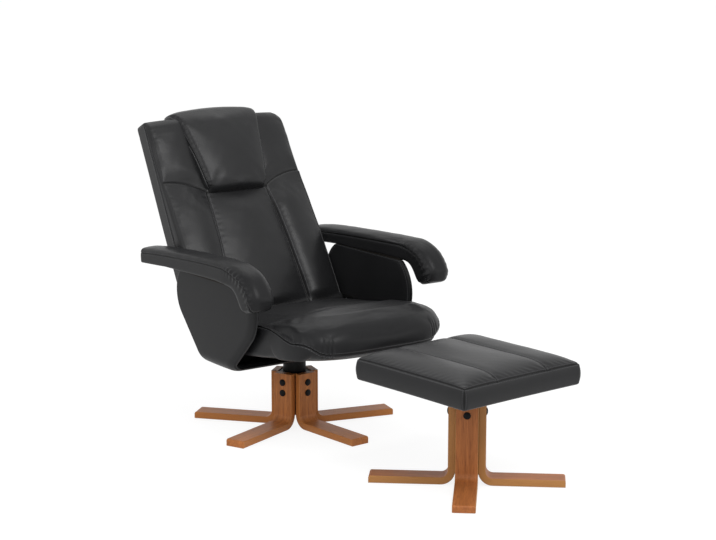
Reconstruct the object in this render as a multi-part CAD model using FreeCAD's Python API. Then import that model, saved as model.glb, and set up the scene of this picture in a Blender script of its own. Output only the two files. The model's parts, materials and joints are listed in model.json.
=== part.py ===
import FreeCAD, Part
import math
import os

V = FreeCAD.Vector

# Sizes are in millimetres. The sitter faces -Y, +X is the sitter's left and +Z is up.
# The swivel axis stands at x = 0, y = 0 while modelling; the export moves the set's footprint to the origin.

# Fits shared by all pieces
fit_clear = 0.05
bolt_clear = 0.3
soft_clear = 0.3
overrun = 4.0

# Whole set
footprint_centre = 274.0

# Bent legs, the same section under the chair and under the footstool
leg_width = 68.0
leg_thick = 22.0
leg_bend = 22.0
leg_ease = 1.5
leg_tip_bevel = 7.0
glide_proud = 2.0
glide_radius = 11.0
glide_pin_radius = 3.0
glide_pin_length = 9.0
glide_inset = 24.0

# Bolts that hold the legs
bolt_head_radius = 11.0
bolt_head_rim = 2.0
bolt_head_height = 5.0
bolt_radius = 4.0
bolt_bite = 9.0

# Chair base
chair_leg_count = 5
chair_leg_reach = 339.0
chair_post_top = 183.0
chair_base_angle = -85.6
chair_hub_flat = 48.0
chair_hub_drop = 3.0
chair_bolt_drops = (30.0, 65.0)

# Swivel
column_radius = 37.5
column_wall = 6.0
column_bottom = 74.0
bush_height = 28.0
bush_flange = 3.0
spindle_radius = 20.0
ring_thick = 3.0
ring_depth = 2.0
ring_proud = 4.0
plate_thick = 6.0
plate_length = 142.0
plate_width = 190.0
plate_corner = 14.0
plate_bolt_spacing_x = 140.0
plate_bolt_spacing_y = 96.0

# Side shell: two padded side panels joined by a strap under the seat
shell_half_width = 308.0
shell_thick = 22.0
shell_bottom = 240.0
shell_bend = 34.0
shell_top = 545.0
shell_edge = 6.0
strap_front = 108.0
strap_rear = -54.0
shell_front_top = 196.0
shell_front_round = 247.0
shell_front_waist = 470.0
shell_front_shoulder = 213.0
shell_shoulder_height = 366.0
shell_rear_top = -176.0
shell_rear_round = -222.0
shell_rear_waist = 460.0
shell_rear_shoulder = -196.0
shell_rear_shoulder_height = 382.0
shell_rear_heel = -92.0
shell_rear_heel_height = 269.0

# Seat
seat_tilt = 8.0
seat_rear = -98.0
seat_rear_height = 261.5
seat_length = 626.0
seat_half_width = 277.0
seat_thick = 110.0
seat_crown = 14.0
seat_shoulder_half = 200.0
seat_shoulder_crown = 10.0
seat_shoulder_back = 23.0
seat_corner_back = 98.0
seat_waterfall = 150.0
seat_undercut = 16.0
seat_nose_height = 52.0
board_thick = 15.0
board_margin = 15.0
board_front_margin = 56.0
board_corner = 60.0
wedge_inner = 30.0
wedge_outer = 130.0
wedge_margin = 4.0

# Arms
arm_inner = 292.0
arm_outer = 382.0
arm_rear = -338.0
arm_rear_top = 563.0
arm_rear_low = 534.0
arm_seam_top = 587.0
arm_crown = 19.0
arm_bend_start = 200.0
arm_bend_front = 303.0
arm_bend_height = 525.0
arm_bend_mid_forward = 276.0
arm_bend_mid_height = 570.0
arm_front_swell = 44.0
arm_roll_share = 0.145
arm_edge_share = 0.68
arm_nose_low = 490.0
arm_nose_back = 274.0
arm_nose_flat = 16.0
arm_throat_forward = 247.0
arm_throat_height = 522.0
arm_board_thick = 15.0
arm_board_margin = 3.0
arm_board_rear_margin = 14.0
arm_board_front = 185.0
screw_radius = 3.0
screw_head_radius = 5.0
screw_head_height = 3.0
screw_length = 45.0
arm_screw_places = (-140.0, 0.0, 150.0)

# Back
recline = 27.0
pivot_forward = -135.0
pivot_height = 366.0
back_nose = 14.0
back_low_half = 276.0
back_top_half = 267.0
back_seam_low_half = 144.0
back_seam_top_half = 101.0
back_lumbar_up = 250.0
back_lumbar_out = 3.0
back_neck_up = 478.0
back_neck_out = -22.0
back_head_up = 570.0
back_head_out = -24.0
back_brow_up = 655.0
back_brow_out = -18.0
back_top_up = 704.0
back_top_fall = 14.0
back_top_round = 32.0
back_panel_crown = 12.0
back_rear_low = -86.0
back_rear_mid_up = 360.0
back_rear_mid = -100.0
back_rear_top = -98.0
cover_thick = 4.0
cover_margin = 8.0
cover_corner = 30.0
frame_thick = 20.0
frame_side_margin = 12.0
frame_rail = 46.0
frame_low = 16.0
frame_top_margin = 22.0
frame_corner = 24.0

# Headrest pillow
head_low_up = 425.0
head_low_half = 118.0
head_top_half = 173.0
head_front_out = 28.0
head_front_crown = 14.0
head_gusset_drop = 14.0
head_brow_drop = 10.0
head_roll = 22.0
head_top_rise = 24.0
head_root = -50.0

# Recline hinge, the same on both sides
hinge_plate_thick = 5.0
hinge_plate_half = 16.0
hinge_plate_rear = 17.0
hinge_plate_front = 75.0
hinge_plate_corner = 10.0
hinge_plate_screws = (32.0, 60.0)
hinge_boss_radius = 15.0
hinge_disc_thick = 2.0
hinge_pin_radius = 7.0
hinge_pin_head_radius = 12.0
hinge_pin_head = 4.0
hinge_bush_wall = 2.0
hinge_arm_thick = 5.0
hinge_arm_eye = 13.0
hinge_arm_length = 150.0
hinge_knee_share = 0.4
hinge_arm_screw_shares = (0.45, 0.68, 0.9)
hinge_arm_strip = 18.0
hinge_pocket_depth = 14.0
hinge_screw_radius = 2.5
hinge_screw_head_radius = 5.0
hinge_screw_head = 2.5
hinge_screw_length = 16.0

# Recline knob
stud_radius = 4.0
knob_radius = 26.0
knob_depth = 30.0
knob_gap = 1.0
knob_hub_radius = 15.0
knob_hub_length = 8.0
knob_flutes = 9
knob_flute_radius = 6.0
knob_flute_bite = 2.5
knob_dome = 5.0
clamp_nut_radius = 12.0
clamp_nut_thick = 5.0

# Footstool
stool_forward = 837.0
stool_side = 61.0
stool_turn = 4.8
stool_leg_count = 4
stool_leg_reach = 293.0
stool_leg_angle = -135.0
stool_post_top = 306.0
stool_hub_flat = 34.0
stool_bolt_drops = (84.0,)
stool_plate_thick = 5.0
stool_plate_half = 85.0
stool_plate_corner = 12.0
stool_screw_inset = 14.0
stool_half = 232.0
stool_corner = 16.0
stool_boxing = 61.0
stool_crown = 24.0
stool_seam_half = 100.0
stool_seam_dip = 7.0
stool_side_panel_crown = 14.0
stool_draw = 6.0
stool_board_margin = 20.0

# Values worked out from the sizes above
leg_bottom = glide_proud
column_bore = column_radius - column_wall
plate_bottom = shell_bottom - plate_thick
column_top = plate_bottom - bush_flange
strap_top = shell_bottom + shell_thick
strap_centre = (strap_front + strap_rear) / 2
shell_inner = shell_half_width - shell_thick
arm_middle = (arm_inner + arm_outer) / 2
arm_edge_roll = (arm_outer - arm_inner) * arm_roll_share
arm_underside = shell_top
chair_hub_top = chair_post_top - chair_hub_drop
stool_board_bottom = stool_post_top + stool_plate_thick
frame_half_width = back_top_half - frame_side_margin
hinge_arm_outer = frame_half_width + hinge_arm_thick
hinge_disc_outer = hinge_arm_outer + hinge_disc_thick
hinge_pin_end = frame_half_width - fit_clear
hinge_bush_radius = hinge_pin_radius + hinge_bush_wall
diagonal_share = math.sin(math.radians(45))


# Drawing helpers

def line(a, b):
    return Part.LineSegment(a, b).toShape()


def arc(a, middle, b):
    return Part.Arc(a, middle, b).toShape()


def rounded(points, radii):
    """Closed wire through the points, with a tangent arc of the given radius at each corner."""
    ends = []
    count = len(points)
    for i in range(count):
        here = points[i]
        back = (points[i - 1] - here).normalize()
        ahead = (points[(i + 1) % count] - here).normalize()
        half = back.getAngle(ahead) / 2
        reach = radii[i] / math.tan(half)
        middle = (back + ahead).normalize() * (radii[i] / math.sin(half) - radii[i])
        ends.append((here + back * reach, here + middle, here + ahead * reach))
    edges = []
    for i in range(count):
        start, middle, stop = ends[i]
        if radii[i] > 0:
            edges.append(arc(start, middle, stop))
        edges.append(line(stop, ends[(i + 1) % count][0]))
    return Part.Wire(edges)


def slab(wire, direction):
    return Part.Face(wire).extrude(direction)


def rod(base, axis, radius, length):
    return Part.makeCylinder(radius, length, base, axis)


def loft(wires):
    return Part.makeLoft(wires, True, False)


def fuse(shapes):
    whole = shapes[0]
    for shape in shapes[1:]:
        whole = whole.fuse(shape)
    return whole.removeSplitter()


def cut_all(shape, tools):
    for tool in tools:
        shape = shape.cut(tool)
    return shape


def mirrored(shape):
    return shape.mirror(V(0, 0, 0), V(1, 0, 0))


def aimed(shape, base, axis):
    """Turn a shape drawn along +Z so that it runs along the axis, and put its origin at the base."""
    shape.Placement = FreeCAD.Placement(base, FreeCAD.Rotation(V(0, 0, 1), axis))
    return shape


def turned(shape, angle):
    return shape.rotate(V(0, 0, 0), V(0, 0, 1), angle)


def side_view(forward, height, side):
    return V(side, -forward, height)


def seat_view(along, up, side):
    tilt = math.radians(seat_tilt)
    forward = seat_rear + along * math.cos(tilt) - up * math.sin(tilt)
    height = seat_rear_height + along * math.sin(tilt) + up * math.cos(tilt)
    return side_view(forward, height, side)


def back_view(up, out, side):
    lean = math.radians(recline)
    forward = pivot_forward - up * math.sin(lean) + out * math.cos(lean)
    height = pivot_height + up * math.cos(lean) + out * math.sin(lean)
    return side_view(forward, height, side)


def seat_normal():
    return (seat_view(0, 1, 0) - seat_view(0, 0, 0)).normalize()


def back_normal():
    return (back_view(0, 1, 0) - back_view(0, 0, 0)).normalize()


# Fasteners

def domed_bolt(shank_length):
    """Bolt with a domed head that stands on z = 0 and its shank below."""
    dome = bolt_head_height - bolt_head_rim
    dome_radius = (bolt_head_radius ** 2 + dome ** 2) / (2 * dome)
    head = rod(V(0, 0, 0), V(0, 0, 1), bolt_head_radius, bolt_head_height)
    head = head.common(Part.makeSphere(dome_radius, V(0, 0, bolt_head_height - dome_radius)))
    shank = rod(V(0, 0, -shank_length), V(0, 0, 1), bolt_radius, shank_length)
    return head.fuse(shank).removeSplitter()


def sunk_screw(head_radius, head_height, shank_radius, length):
    """Countersunk screw: flat top on z = 0, a cone below it and a plain shank."""
    cone = Part.makeCone(shank_radius, head_radius, head_height, V(0, 0, -head_height))
    shank = rod(V(0, 0, -length), V(0, 0, 1), shank_radius, length - head_height)
    return cone.fuse(shank).removeSplitter()


# Bent legs and their hubs

def leg_body(reach, inner_face, post_top, bolt_drops):
    """One bent strip of wood: a post beside the hub that turns outwards along the floor."""
    outer_bend = leg_bend + leg_thick
    outer_face = inner_face + leg_thick
    centre_out = inner_face + outer_bend
    centre_up = leg_bottom + outer_bend
    tip_fall = leg_tip_bevel * (1 - diagonal_share)
    edges = [
        line(V(inner_face, 0, post_top), V(inner_face, 0, centre_up)),
        arc(
            V(inner_face, 0, centre_up),
            V(centre_out - outer_bend * diagonal_share, 0, centre_up - outer_bend * diagonal_share),
            V(centre_out, 0, leg_bottom),
        ),
        line(V(centre_out, 0, leg_bottom), V(reach, 0, leg_bottom)),
        line(V(reach, 0, leg_bottom), V(reach, 0, leg_bottom + leg_thick - leg_tip_bevel)),
        arc(
            V(reach, 0, leg_bottom + leg_thick - leg_tip_bevel),
            V(reach - tip_fall, 0, leg_bottom + leg_thick - tip_fall),
            V(reach - leg_tip_bevel, 0, leg_bottom + leg_thick),
        ),
        line(V(reach - leg_tip_bevel, 0, leg_bottom + leg_thick), V(centre_out, 0, leg_bottom + leg_thick)),
        arc(
            V(centre_out, 0, leg_bottom + leg_thick),
            V(centre_out - leg_bend * diagonal_share, 0, centre_up - leg_bend * diagonal_share),
            V(outer_face, 0, centre_up),
        ),
        line(V(outer_face, 0, centre_up), V(outer_face, 0, post_top)),
        line(V(outer_face, 0, post_top), V(inner_face, 0, post_top)),
    ]
    body = slab(Part.Wire(edges), V(0, leg_width, 0))
    body.translate(V(0, -leg_width / 2, 0))
    half_ease = leg_ease / 2
    long_edges = [e for e in body.Edges if abs(abs(e.CenterOfMass.y) - leg_width / 2) < half_ease]
    body = body.makeChamfer(leg_ease, long_edges)
    through = leg_thick + 2 * overrun
    holes = [
        rod(V(inner_face - overrun, 0, post_top - drop), V(1, 0, 0), bolt_radius + bolt_clear, through)
        for drop in bolt_drops
    ]
    holes.append(glide_socket(reach))
    return cut_all(body, holes)


def glide_socket(reach):
    return rod(
        V(reach - glide_inset, 0, leg_bottom - overrun), V(0, 0, 1),
        glide_pin_radius + fit_clear, glide_pin_length + overrun,
    )


def leg_glide(reach):
    """Floor glide: a flat pad with a pin pressed into the underside of the leg."""
    pad = rod(V(reach - glide_inset, 0, 0), V(0, 0, 1), glide_radius, glide_proud)
    pin_length = glide_proud + glide_pin_length - fit_clear
    pin = rod(V(reach - glide_inset, 0, 0), V(0, 0, 1), glide_pin_radius, pin_length)
    return pad.fuse(pin).removeSplitter()


def leg_bolts(inner_face, post_top, bolt_drops):
    return [
        aimed(domed_bolt(leg_thick + bolt_bite), V(inner_face + leg_thick, 0, post_top - drop), V(1, 0, 0))
        for drop in bolt_drops
    ]


def hub_block(sides, flat, bottom, top, post_top, bolt_drops, bore_radius):
    """Many-sided steel hub with a leg on each flat, bored for the bolts and for what stands in it."""
    corner = flat / math.cos(math.pi / sides)
    points = []
    for i in range(sides):
        angle = math.pi * (2 * i + 1) / sides
        points.append(V(corner * math.cos(angle), corner * math.sin(angle), bottom))
    points.append(points[0])
    block = slab(Part.makePolygon(points), V(0, 0, top - bottom))
    block = block.cut(rod(V(0, 0, bottom - overrun), V(0, 0, 1), bore_radius, top - bottom + 2 * overrun))
    for i in range(sides):
        for drop in bolt_drops:
            hole = rod(V(0, 0, post_top - drop), V(1, 0, 0), bolt_radius + bolt_clear, flat + overrun)
            block = block.cut(turned(hole, 360 * i / sides))
    return block


def chair_base():
    parts = {}
    bolts = []
    glides = []
    for i in range(chair_leg_count):
        angle = chair_base_angle + 360 * i / chair_leg_count
        leg = leg_body(chair_leg_reach, chair_hub_flat, chair_post_top, chair_bolt_drops)
        parts["chair_leg_%d" % (i + 1)] = turned(leg, angle)
        glides.append(turned(leg_glide(chair_leg_reach), angle))
        for bolt in leg_bolts(chair_hub_flat, chair_post_top, chair_bolt_drops):
            bolts.append(turned(bolt, angle))
    hub = hub_block(
        chair_leg_count, chair_hub_flat, leg_bottom + leg_bend + leg_thick, chair_hub_top,
        chair_post_top, chair_bolt_drops, column_radius + fit_clear,
    )
    parts["chair_hub"] = turned(hub, chair_base_angle)
    parts["chair_leg_bolts"] = Part.makeCompound(bolts)
    parts["chair_leg_glides"] = Part.makeCompound(glides)
    return parts


# Swivel column, bushes and spindle

def bush(bottom, flange):
    """Plain bearing bush for the spindle, with a flange on top where it also takes the thrust."""
    body = rod(V(0, 0, bottom), V(0, 0, 1), column_bore - fit_clear, bush_height)
    if flange > 0:
        body = body.fuse(rod(V(0, 0, bottom + bush_height), V(0, 0, 1), column_radius, flange))
    bore = rod(
        V(0, 0, bottom - overrun), V(0, 0, 1), spindle_radius + fit_clear, bush_height + flange + 2 * overrun,
    )
    return body.cut(bore).removeSplitter()


def swivel():
    parts = {}
    height = column_top - column_bottom
    tube = rod(V(0, 0, column_bottom), V(0, 0, 1), column_radius, height)
    bore = rod(V(0, 0, column_bottom - overrun), V(0, 0, 1), column_bore, height + 2 * overrun)
    parts["swivel_column"] = tube.cut(bore)
    parts["upper_bush"] = bush(column_top - bush_height, bush_flange)
    parts["lower_bush"] = bush(column_bottom, 0)
    ring_top = column_bottom - fit_clear
    ring_bottom = ring_top - ring_thick
    spindle_bottom = ring_bottom - ring_proud
    spindle = rod(V(0, 0, spindle_bottom), V(0, 0, 1), spindle_radius, shell_bottom - spindle_bottom)
    ring_seat = spindle_radius - ring_depth
    groove = ring_solid(ring_bottom, spindle_radius + overrun, ring_seat, ring_thick)
    parts["swivel_spindle"] = spindle.cut(groove)
    parts["spindle_ring"] = ring_solid(
        ring_bottom, spindle_radius + ring_proud, ring_seat + fit_clear, ring_thick,
    )
    return parts


def ring_solid(bottom, outer, inner, thick):
    disc = rod(V(0, 0, bottom), V(0, 0, 1), outer, thick)
    return disc.cut(rod(V(0, 0, bottom - overrun), V(0, 0, 1), inner, thick + 2 * overrun))


def plate_bolt_places():
    places = []
    for side in (-1, 1):
        for end in (-1, 1):
            places.append((side * plate_bolt_spacing_x / 2, strap_centre + end * plate_bolt_spacing_y / 2))
    return places


def plate_bolt_holes():
    reach = seat_rear_height + seat_thick - plate_bottom
    return [
        rod(side_view(forward, plate_bottom - overrun, side), V(0, 0, 1), bolt_radius + bolt_clear, reach)
        for side, forward in plate_bolt_places()
    ]


def board_underside(forward):
    return seat_rear_height + (forward - seat_rear) * math.tan(math.radians(seat_tilt))


def swivel_plate():
    half_x = plate_width / 2
    half_y = plate_length / 2
    corners = [
        side_view(strap_centre - half_y, plate_bottom, -half_x),
        side_view(strap_centre - half_y, plate_bottom, half_x),
        side_view(strap_centre + half_y, plate_bottom, half_x),
        side_view(strap_centre + half_y, plate_bottom, -half_x),
    ]
    plate = slab(rounded(corners, [plate_corner] * 4), V(0, 0, plate_thick))
    through = plate_thick + 2 * overrun
    seat_hole = rod(V(0, 0, plate_bottom - overrun), V(0, 0, 1), spindle_radius + fit_clear, through)
    return cut_all(plate.cut(seat_hole), plate_bolt_holes())


def plate_bolts():
    bolts = []
    for side, forward in plate_bolt_places():
        length = board_underside(forward) - plate_bottom + board_thick / 2
        bolts.append(aimed(domed_bolt(length), side_view(forward, plate_bottom, side), V(0, 0, -1)))
    return Part.makeCompound(bolts)


# Side shell

def shell_outline(side):
    """Side panel seen from the side: a shield with full shoulders that narrows down to the strap."""
    def at(forward, height):
        return side_view(forward, height, side)
    heel_front = at(strap_front, strap_top)
    heel_rear = at(strap_rear, shell_bottom)
    front_top = at(shell_front_top, shell_top)
    front_shoulder = at(shell_front_shoulder, shell_shoulder_height)
    rear_top = at(shell_rear_top, shell_top)
    rear_shoulder = at(shell_rear_shoulder, shell_rear_shoulder_height)
    rear_heel = at(shell_rear_heel, shell_rear_heel_height)
    heel_sag = (rear_heel + heel_rear) / 2 + (heel_rear - front_top).normalize() * shell_edge
    edges = [
        line(rear_top, front_top),
        arc(front_top, at(shell_front_round, shell_front_waist), front_shoulder),
        line(front_shoulder, heel_front),
        line(heel_front, at(strap_front, shell_bottom)),
        line(at(strap_front, shell_bottom), heel_rear),
        arc(heel_rear, heel_sag, rear_heel),
        line(rear_heel, rear_shoulder),
        arc(rear_shoulder, at(shell_rear_round, shell_rear_waist), rear_top),
    ]
    return Part.Wire(edges)


def side_shell():
    """A bent U drawn from the front, trimmed by the panel's outline seen from the side."""
    def corner(half, height):
        return V(half, 0, height)
    inner_bend = shell_bend - shell_thick
    outside = [
        corner(-shell_half_width, shell_top), corner(-shell_half_width, shell_bottom),
        corner(shell_half_width, shell_bottom), corner(shell_half_width, shell_top),
    ]
    inside = [
        corner(-shell_inner, shell_top + overrun), corner(-shell_inner, strap_top),
        corner(shell_inner, strap_top), corner(shell_inner, shell_top + overrun),
    ]
    depth = shell_front_round - shell_rear_round + 2 * overrun
    along = V(0, -depth, 0)
    start = V(0, -shell_rear_round + overrun, 0)
    outer = slab(rounded(outside, [0, shell_bend, shell_bend, 0]), along)
    inner = slab(rounded(inside, [0, inner_bend, inner_bend, 0]), along)
    bent = outer.cut(inner)
    bent.translate(start)
    width = 2 * shell_half_width + 2 * overrun
    shell = bent.common(slab(shell_outline(-width / 2), V(width, 0, 0)))
    holes = plate_bolt_holes()
    holes.append(rod(
        side_view(pivot_forward, pivot_height, shell_inner - overrun), V(1, 0, 0),
        stud_radius + bolt_clear, shell_thick + 2 * overrun,
    ))
    holes.extend(arm_screw_holes(screw_radius + fit_clear))
    holes.extend(bracket_screw_holes())
    return cut_all(shell, holes)


# Seat

def seat_section(side, length, height):
    """Outline of the cushion seen from the side: flat underside, waterfall front and square rear."""
    def at(along, up):
        return seat_view(along, up, side)
    nose = seat_nose_height
    drop = height - nose
    low = at(length - seat_undercut, 0)
    tip = at(length, nose)
    brow = at(length - seat_waterfall, height)
    edges = [
        line(at(0, 0), low),
        arc(low, at(length - seat_undercut * (1 - diagonal_share), nose * (1 - diagonal_share)), tip),
        arc(tip, at(length - seat_waterfall * (1 - diagonal_share), nose + drop * diagonal_share), brow),
        line(brow, at(0, height)),
        line(at(0, height), at(0, 0)),
    ]
    return Part.Wire(edges)


def seat_board():
    half = seat_half_width - board_margin
    front = seat_length - seat_corner_back - board_front_margin
    corners = [
        seat_view(board_margin, 0, -half), seat_view(board_margin, 0, half),
        seat_view(front, 0, half), seat_view(front, 0, -half),
    ]
    radii = [plate_corner, plate_corner, board_corner, board_corner]
    return slab(rounded(corners, radii), seat_normal() * board_thick)


def seat_cushion():
    corner_length = seat_length - seat_corner_back
    shoulder_length = seat_length - seat_shoulder_back
    shoulder_height = seat_thick + seat_shoulder_crown
    stations = [
        seat_section(-seat_half_width, corner_length, seat_thick),
        seat_section(-seat_shoulder_half, shoulder_length, shoulder_height),
        seat_section(0, seat_length, seat_thick + seat_crown),
        seat_section(seat_shoulder_half, shoulder_length, shoulder_height),
        seat_section(seat_half_width, corner_length, seat_thick),
    ]
    cushion = loft(stations)
    half = seat_half_width - board_margin + soft_clear
    front = corner_length - board_front_margin + soft_clear
    rear = board_margin - soft_clear
    corners = [
        seat_view(rear, -overrun, -half), seat_view(rear, -overrun, half),
        seat_view(front, -overrun, half), seat_view(front, -overrun, -half),
    ]
    radii = [plate_corner, plate_corner, board_corner, board_corner]
    return cushion.cut(slab(rounded(corners, radii), seat_normal() * (overrun + board_thick)))


def seat_wedge():
    """Block that sets the seat's tilt on the flat strap."""
    front = strap_front - wedge_margin
    rear = strap_rear + wedge_margin
    corners = [
        side_view(rear, strap_top, wedge_inner),
        side_view(front, strap_top, wedge_inner),
        side_view(front, board_underside(front), wedge_inner),
        side_view(rear, board_underside(rear), wedge_inner),
    ]
    wedge = slab(rounded(corners, [0] * 4), V(wedge_outer - wedge_inner, 0, 0))
    return cut_all(wedge, plate_bolt_holes())


def seat():
    wedge = seat_wedge()
    return {
        "seat_wedge_left": wedge,
        "seat_wedge_right": mirrored(wedge),
        "seat_board": cut_all(seat_board(), plate_bolt_holes()),
        "seat_cushion": seat_cushion(),
    }


# Arms

def arm_section(side, swell, rise):
    """Arm pad seen from the side: a bar that dips behind the shell and whose front end droops."""
    def at(forward, height):
        return side_view(forward, height, side)
    top_front = at(arm_bend_start, arm_seam_top + rise)
    bend_middle = at(arm_bend_mid_forward + swell * diagonal_share, arm_bend_mid_height + rise)
    bend_end = at(arm_bend_front + swell, arm_bend_height)
    nose_height = (arm_bend_height + arm_nose_low - rise) / 2
    nose_middle = at(arm_bend_front + swell * diagonal_share, nose_height)
    nose_end = at(arm_nose_back + arm_nose_flat + swell / 2, arm_nose_low)
    nose_rear = at(arm_nose_back, arm_nose_low)
    throat_top = at(arm_bend_start, arm_underside)
    edges = [
        line(at(arm_rear, arm_rear_top + rise / 2), top_front),
        arc(top_front, bend_middle, bend_end),
        arc(bend_end, nose_middle, nose_end),
        line(nose_end, nose_rear),
        arc(nose_rear, at(arm_throat_forward, arm_throat_height), throat_top),
        line(throat_top, at(shell_rear_top, arm_underside)),
        line(at(shell_rear_top, arm_underside), at(arm_rear, arm_rear_low)),
        line(at(arm_rear, arm_rear_low), at(arm_rear, arm_rear_top + rise / 2)),
    ]
    return Part.Wire(edges)


def arm_board(grow):
    """Bent board under the pad; it follows the pad's underside."""
    inner = arm_inner + arm_board_margin - grow
    outer = arm_outer - arm_board_margin + grow
    rear = arm_rear + arm_board_rear_margin - grow
    front = arm_board_front + grow
    thick = arm_board_thick + grow
    dip = (arm_underside - arm_rear_low) * (shell_rear_top - rear) / (shell_rear_top - arm_rear)
    corners = [
        side_view(front, arm_underside, inner),
        side_view(shell_rear_top, arm_underside, inner),
        side_view(rear, arm_underside - dip, inner),
        side_view(rear, arm_underside - dip + thick, inner),
        side_view(shell_rear_top, arm_underside + thick, inner),
        side_view(front, arm_underside + thick, inner),
    ]
    return slab(rounded(corners, [0] * len(corners)), V(outer - inner, 0, 0))


def arm_screw_tops():
    side = (arm_inner + arm_board_margin + shell_half_width) / 2
    return [side_view(forward, arm_underside + arm_board_thick, side) for forward in arm_screw_places]


def arm_screw_holes(radius):
    holes = []
    for top in arm_screw_tops():
        hole = rod(top - V(0, 0, screw_length), V(0, 0, 1), radius, screw_length + overrun)
        holes.extend([hole, mirrored(hole)])
    return holes


def arm_screw(grow):
    return sunk_screw(screw_head_radius + grow, screw_head_height, screw_radius + grow, screw_length)


def arm_screws():
    screws = []
    for top in arm_screw_tops():
        screw = arm_screw(0)
        screw.translate(top)
        screws.extend([screw, mirrored(screw)])
    return Part.makeCompound(screws)


def arms():
    edge_swell = arm_front_swell * arm_edge_share
    edge_rise = arm_crown * arm_edge_share
    pad = loft([
        arm_section(arm_inner, 0, 0),
        arm_section(arm_inner + arm_edge_roll, edge_swell, edge_rise),
        arm_section(arm_middle, arm_front_swell, arm_crown),
        arm_section(arm_outer - arm_edge_roll, edge_swell, edge_rise),
        arm_section(arm_outer, 0, 0),
    ])
    pad = pad.cut(arm_board(soft_clear))
    board = arm_board(0)
    for top in arm_screw_tops():
        hole = arm_screw(fit_clear)
        hole.translate(top)
        board = board.cut(hole)
    return {
        "arm_board_left": board,
        "arm_board_right": mirrored(board),
        "arm_pad_left": pad,
        "arm_pad_right": mirrored(pad),
        "arm_screws": arm_screws(),
    }


# Back

def back_section(low_half, top_half, crown):
    """Cushion outline seen from the side, on a plane whose half width changes with height."""
    def at(up, out):
        return back_view(up, out, low_half + (top_half - low_half) * up / back_top_up)
    front_rear = back_rear_low + cover_thick
    top_rear = back_rear_top + cover_thick
    neck = at(back_neck_up, back_neck_out + crown)
    brow = at(back_brow_up, back_brow_out + crown)
    crest = at(back_top_up - back_top_fall, back_brow_out - back_top_round)
    shoulder = at(
        back_brow_up + (back_top_up - back_top_fall - back_brow_up) * diagonal_share,
        back_brow_out + crown - (back_top_round + crown) * (1 - diagonal_share),
    )
    edges = [
        arc(at(-back_nose, 0), at(-back_nose * diagonal_share, back_nose * diagonal_share), at(0, back_nose)),
        arc(at(0, back_nose), at(back_lumbar_up, back_lumbar_out + crown), neck),
        arc(neck, at(back_head_up, back_head_out + crown), brow),
        arc(brow, shoulder, crest),
        line(crest, at(back_top_up, top_rear)),
        arc(at(back_top_up, top_rear), at(back_rear_mid_up, back_rear_mid + cover_thick), at(0, front_rear)),
        line(at(0, front_rear), at(-back_nose, 0)),
    ]
    return Part.Wire(edges)


def back_slab(inner, outer, low, top, half_low, half_top, corner):
    """Curved sheet that follows the rear of the back between two depths."""
    width = back_low_half + overrun
    def rear(depth, side):
        return [
            back_view(0, back_rear_low + depth, side),
            back_view(back_rear_mid_up, back_rear_mid + depth, side),
            back_view(back_top_up, back_rear_top + depth, side),
        ]
    a = rear(inner, -width)
    b = rear(outer, -width)
    edges = [arc(*a), line(a[2], b[2]), arc(b[2], b[1], b[0]), line(b[0], a[0])]
    sheet = slab(Part.Wire(edges), V(2 * width, 0, 0))
    depth = -2 * back_rear_mid
    corners = [
        back_view(low, -depth, -half_low), back_view(low, -depth, half_low),
        back_view(top, -depth, half_top), back_view(top, -depth, -half_top),
    ]
    trim = slab(rounded(corners, [corner] * 4), back_normal() * (2 * depth))
    return sheet.common(trim)


def back_frame_ring(grow):
    half = frame_half_width + grow
    window_half = frame_half_width - frame_rail - grow
    low = frame_low
    top = back_top_up - frame_top_margin
    ring = back_slab(
        cover_thick - grow, cover_thick + frame_thick + grow, low - grow, top + grow,
        half, half, frame_corner,
    )
    window = back_slab(
        0, cover_thick + frame_thick + overrun, low + frame_rail + grow, top - frame_rail - grow,
        window_half, window_half, frame_corner,
    )
    return ring.cut(window)


def back_cushion():
    side_mid_low = (back_seam_low_half + back_low_half) / 2
    side_mid_top = (back_seam_top_half + back_top_half) / 2
    centre = loft([
        back_section(-back_seam_low_half, -back_seam_top_half, 0),
        back_section(0, 0, back_panel_crown),
        back_section(back_seam_low_half, back_seam_top_half, 0),
    ])
    side = loft([
        back_section(back_seam_low_half, back_seam_top_half, 0),
        back_section(side_mid_low, side_mid_top, back_panel_crown),
        back_section(back_low_half, back_top_half, 0),
    ])
    cushion = fuse([centre, side, mirrored(side)])
    pocket = hinge_pocket()
    return cut_all(cushion, [back_frame_ring(soft_clear), pocket, mirrored(pocket)])


def back_cover():
    top_half = back_top_half - cover_margin
    return back_slab(
        0, cover_thick, cover_margin, back_top_up - cover_margin,
        back_low_half - cover_margin, top_half, cover_corner,
    )


def head_section(sign, crown):
    """Pillow outline seen from the side; it rolls over the top edge of the back."""
    def at(up, out):
        share = (up - head_low_up) / (back_top_up - head_low_up)
        return back_view(up, out, sign * (head_low_half + (head_top_half - head_low_half) * share))
    front = head_front_out + crown
    low = at(head_low_up, head_root)
    roll_middle = at(head_low_up + head_roll * (1 - diagonal_share), front - head_roll)
    roll_low = at(head_low_up + head_roll, front)
    brow = at(back_brow_up, front - head_brow_drop)
    crest = at(back_top_up + head_top_rise, head_root)
    heel = at(back_top_up - back_top_fall, back_rear_top)
    heel_round = back_rear_top - head_root * (1 - diagonal_share)
    edges = [
        arc(low, roll_middle, roll_low),
        arc(roll_low, at(back_head_up, front + crown / 2), brow),
        arc(brow, at(back_top_up + head_top_rise * (1 - diagonal_share), (front + head_root) / 2), crest),
        arc(crest, at(back_top_up + head_top_rise * diagonal_share, heel_round), heel),
        line(heel, at(back_head_up, back_rear_top - head_root)),
        line(at(back_head_up, back_rear_top - head_root), low),
    ]
    return Part.Wire(edges)


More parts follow.
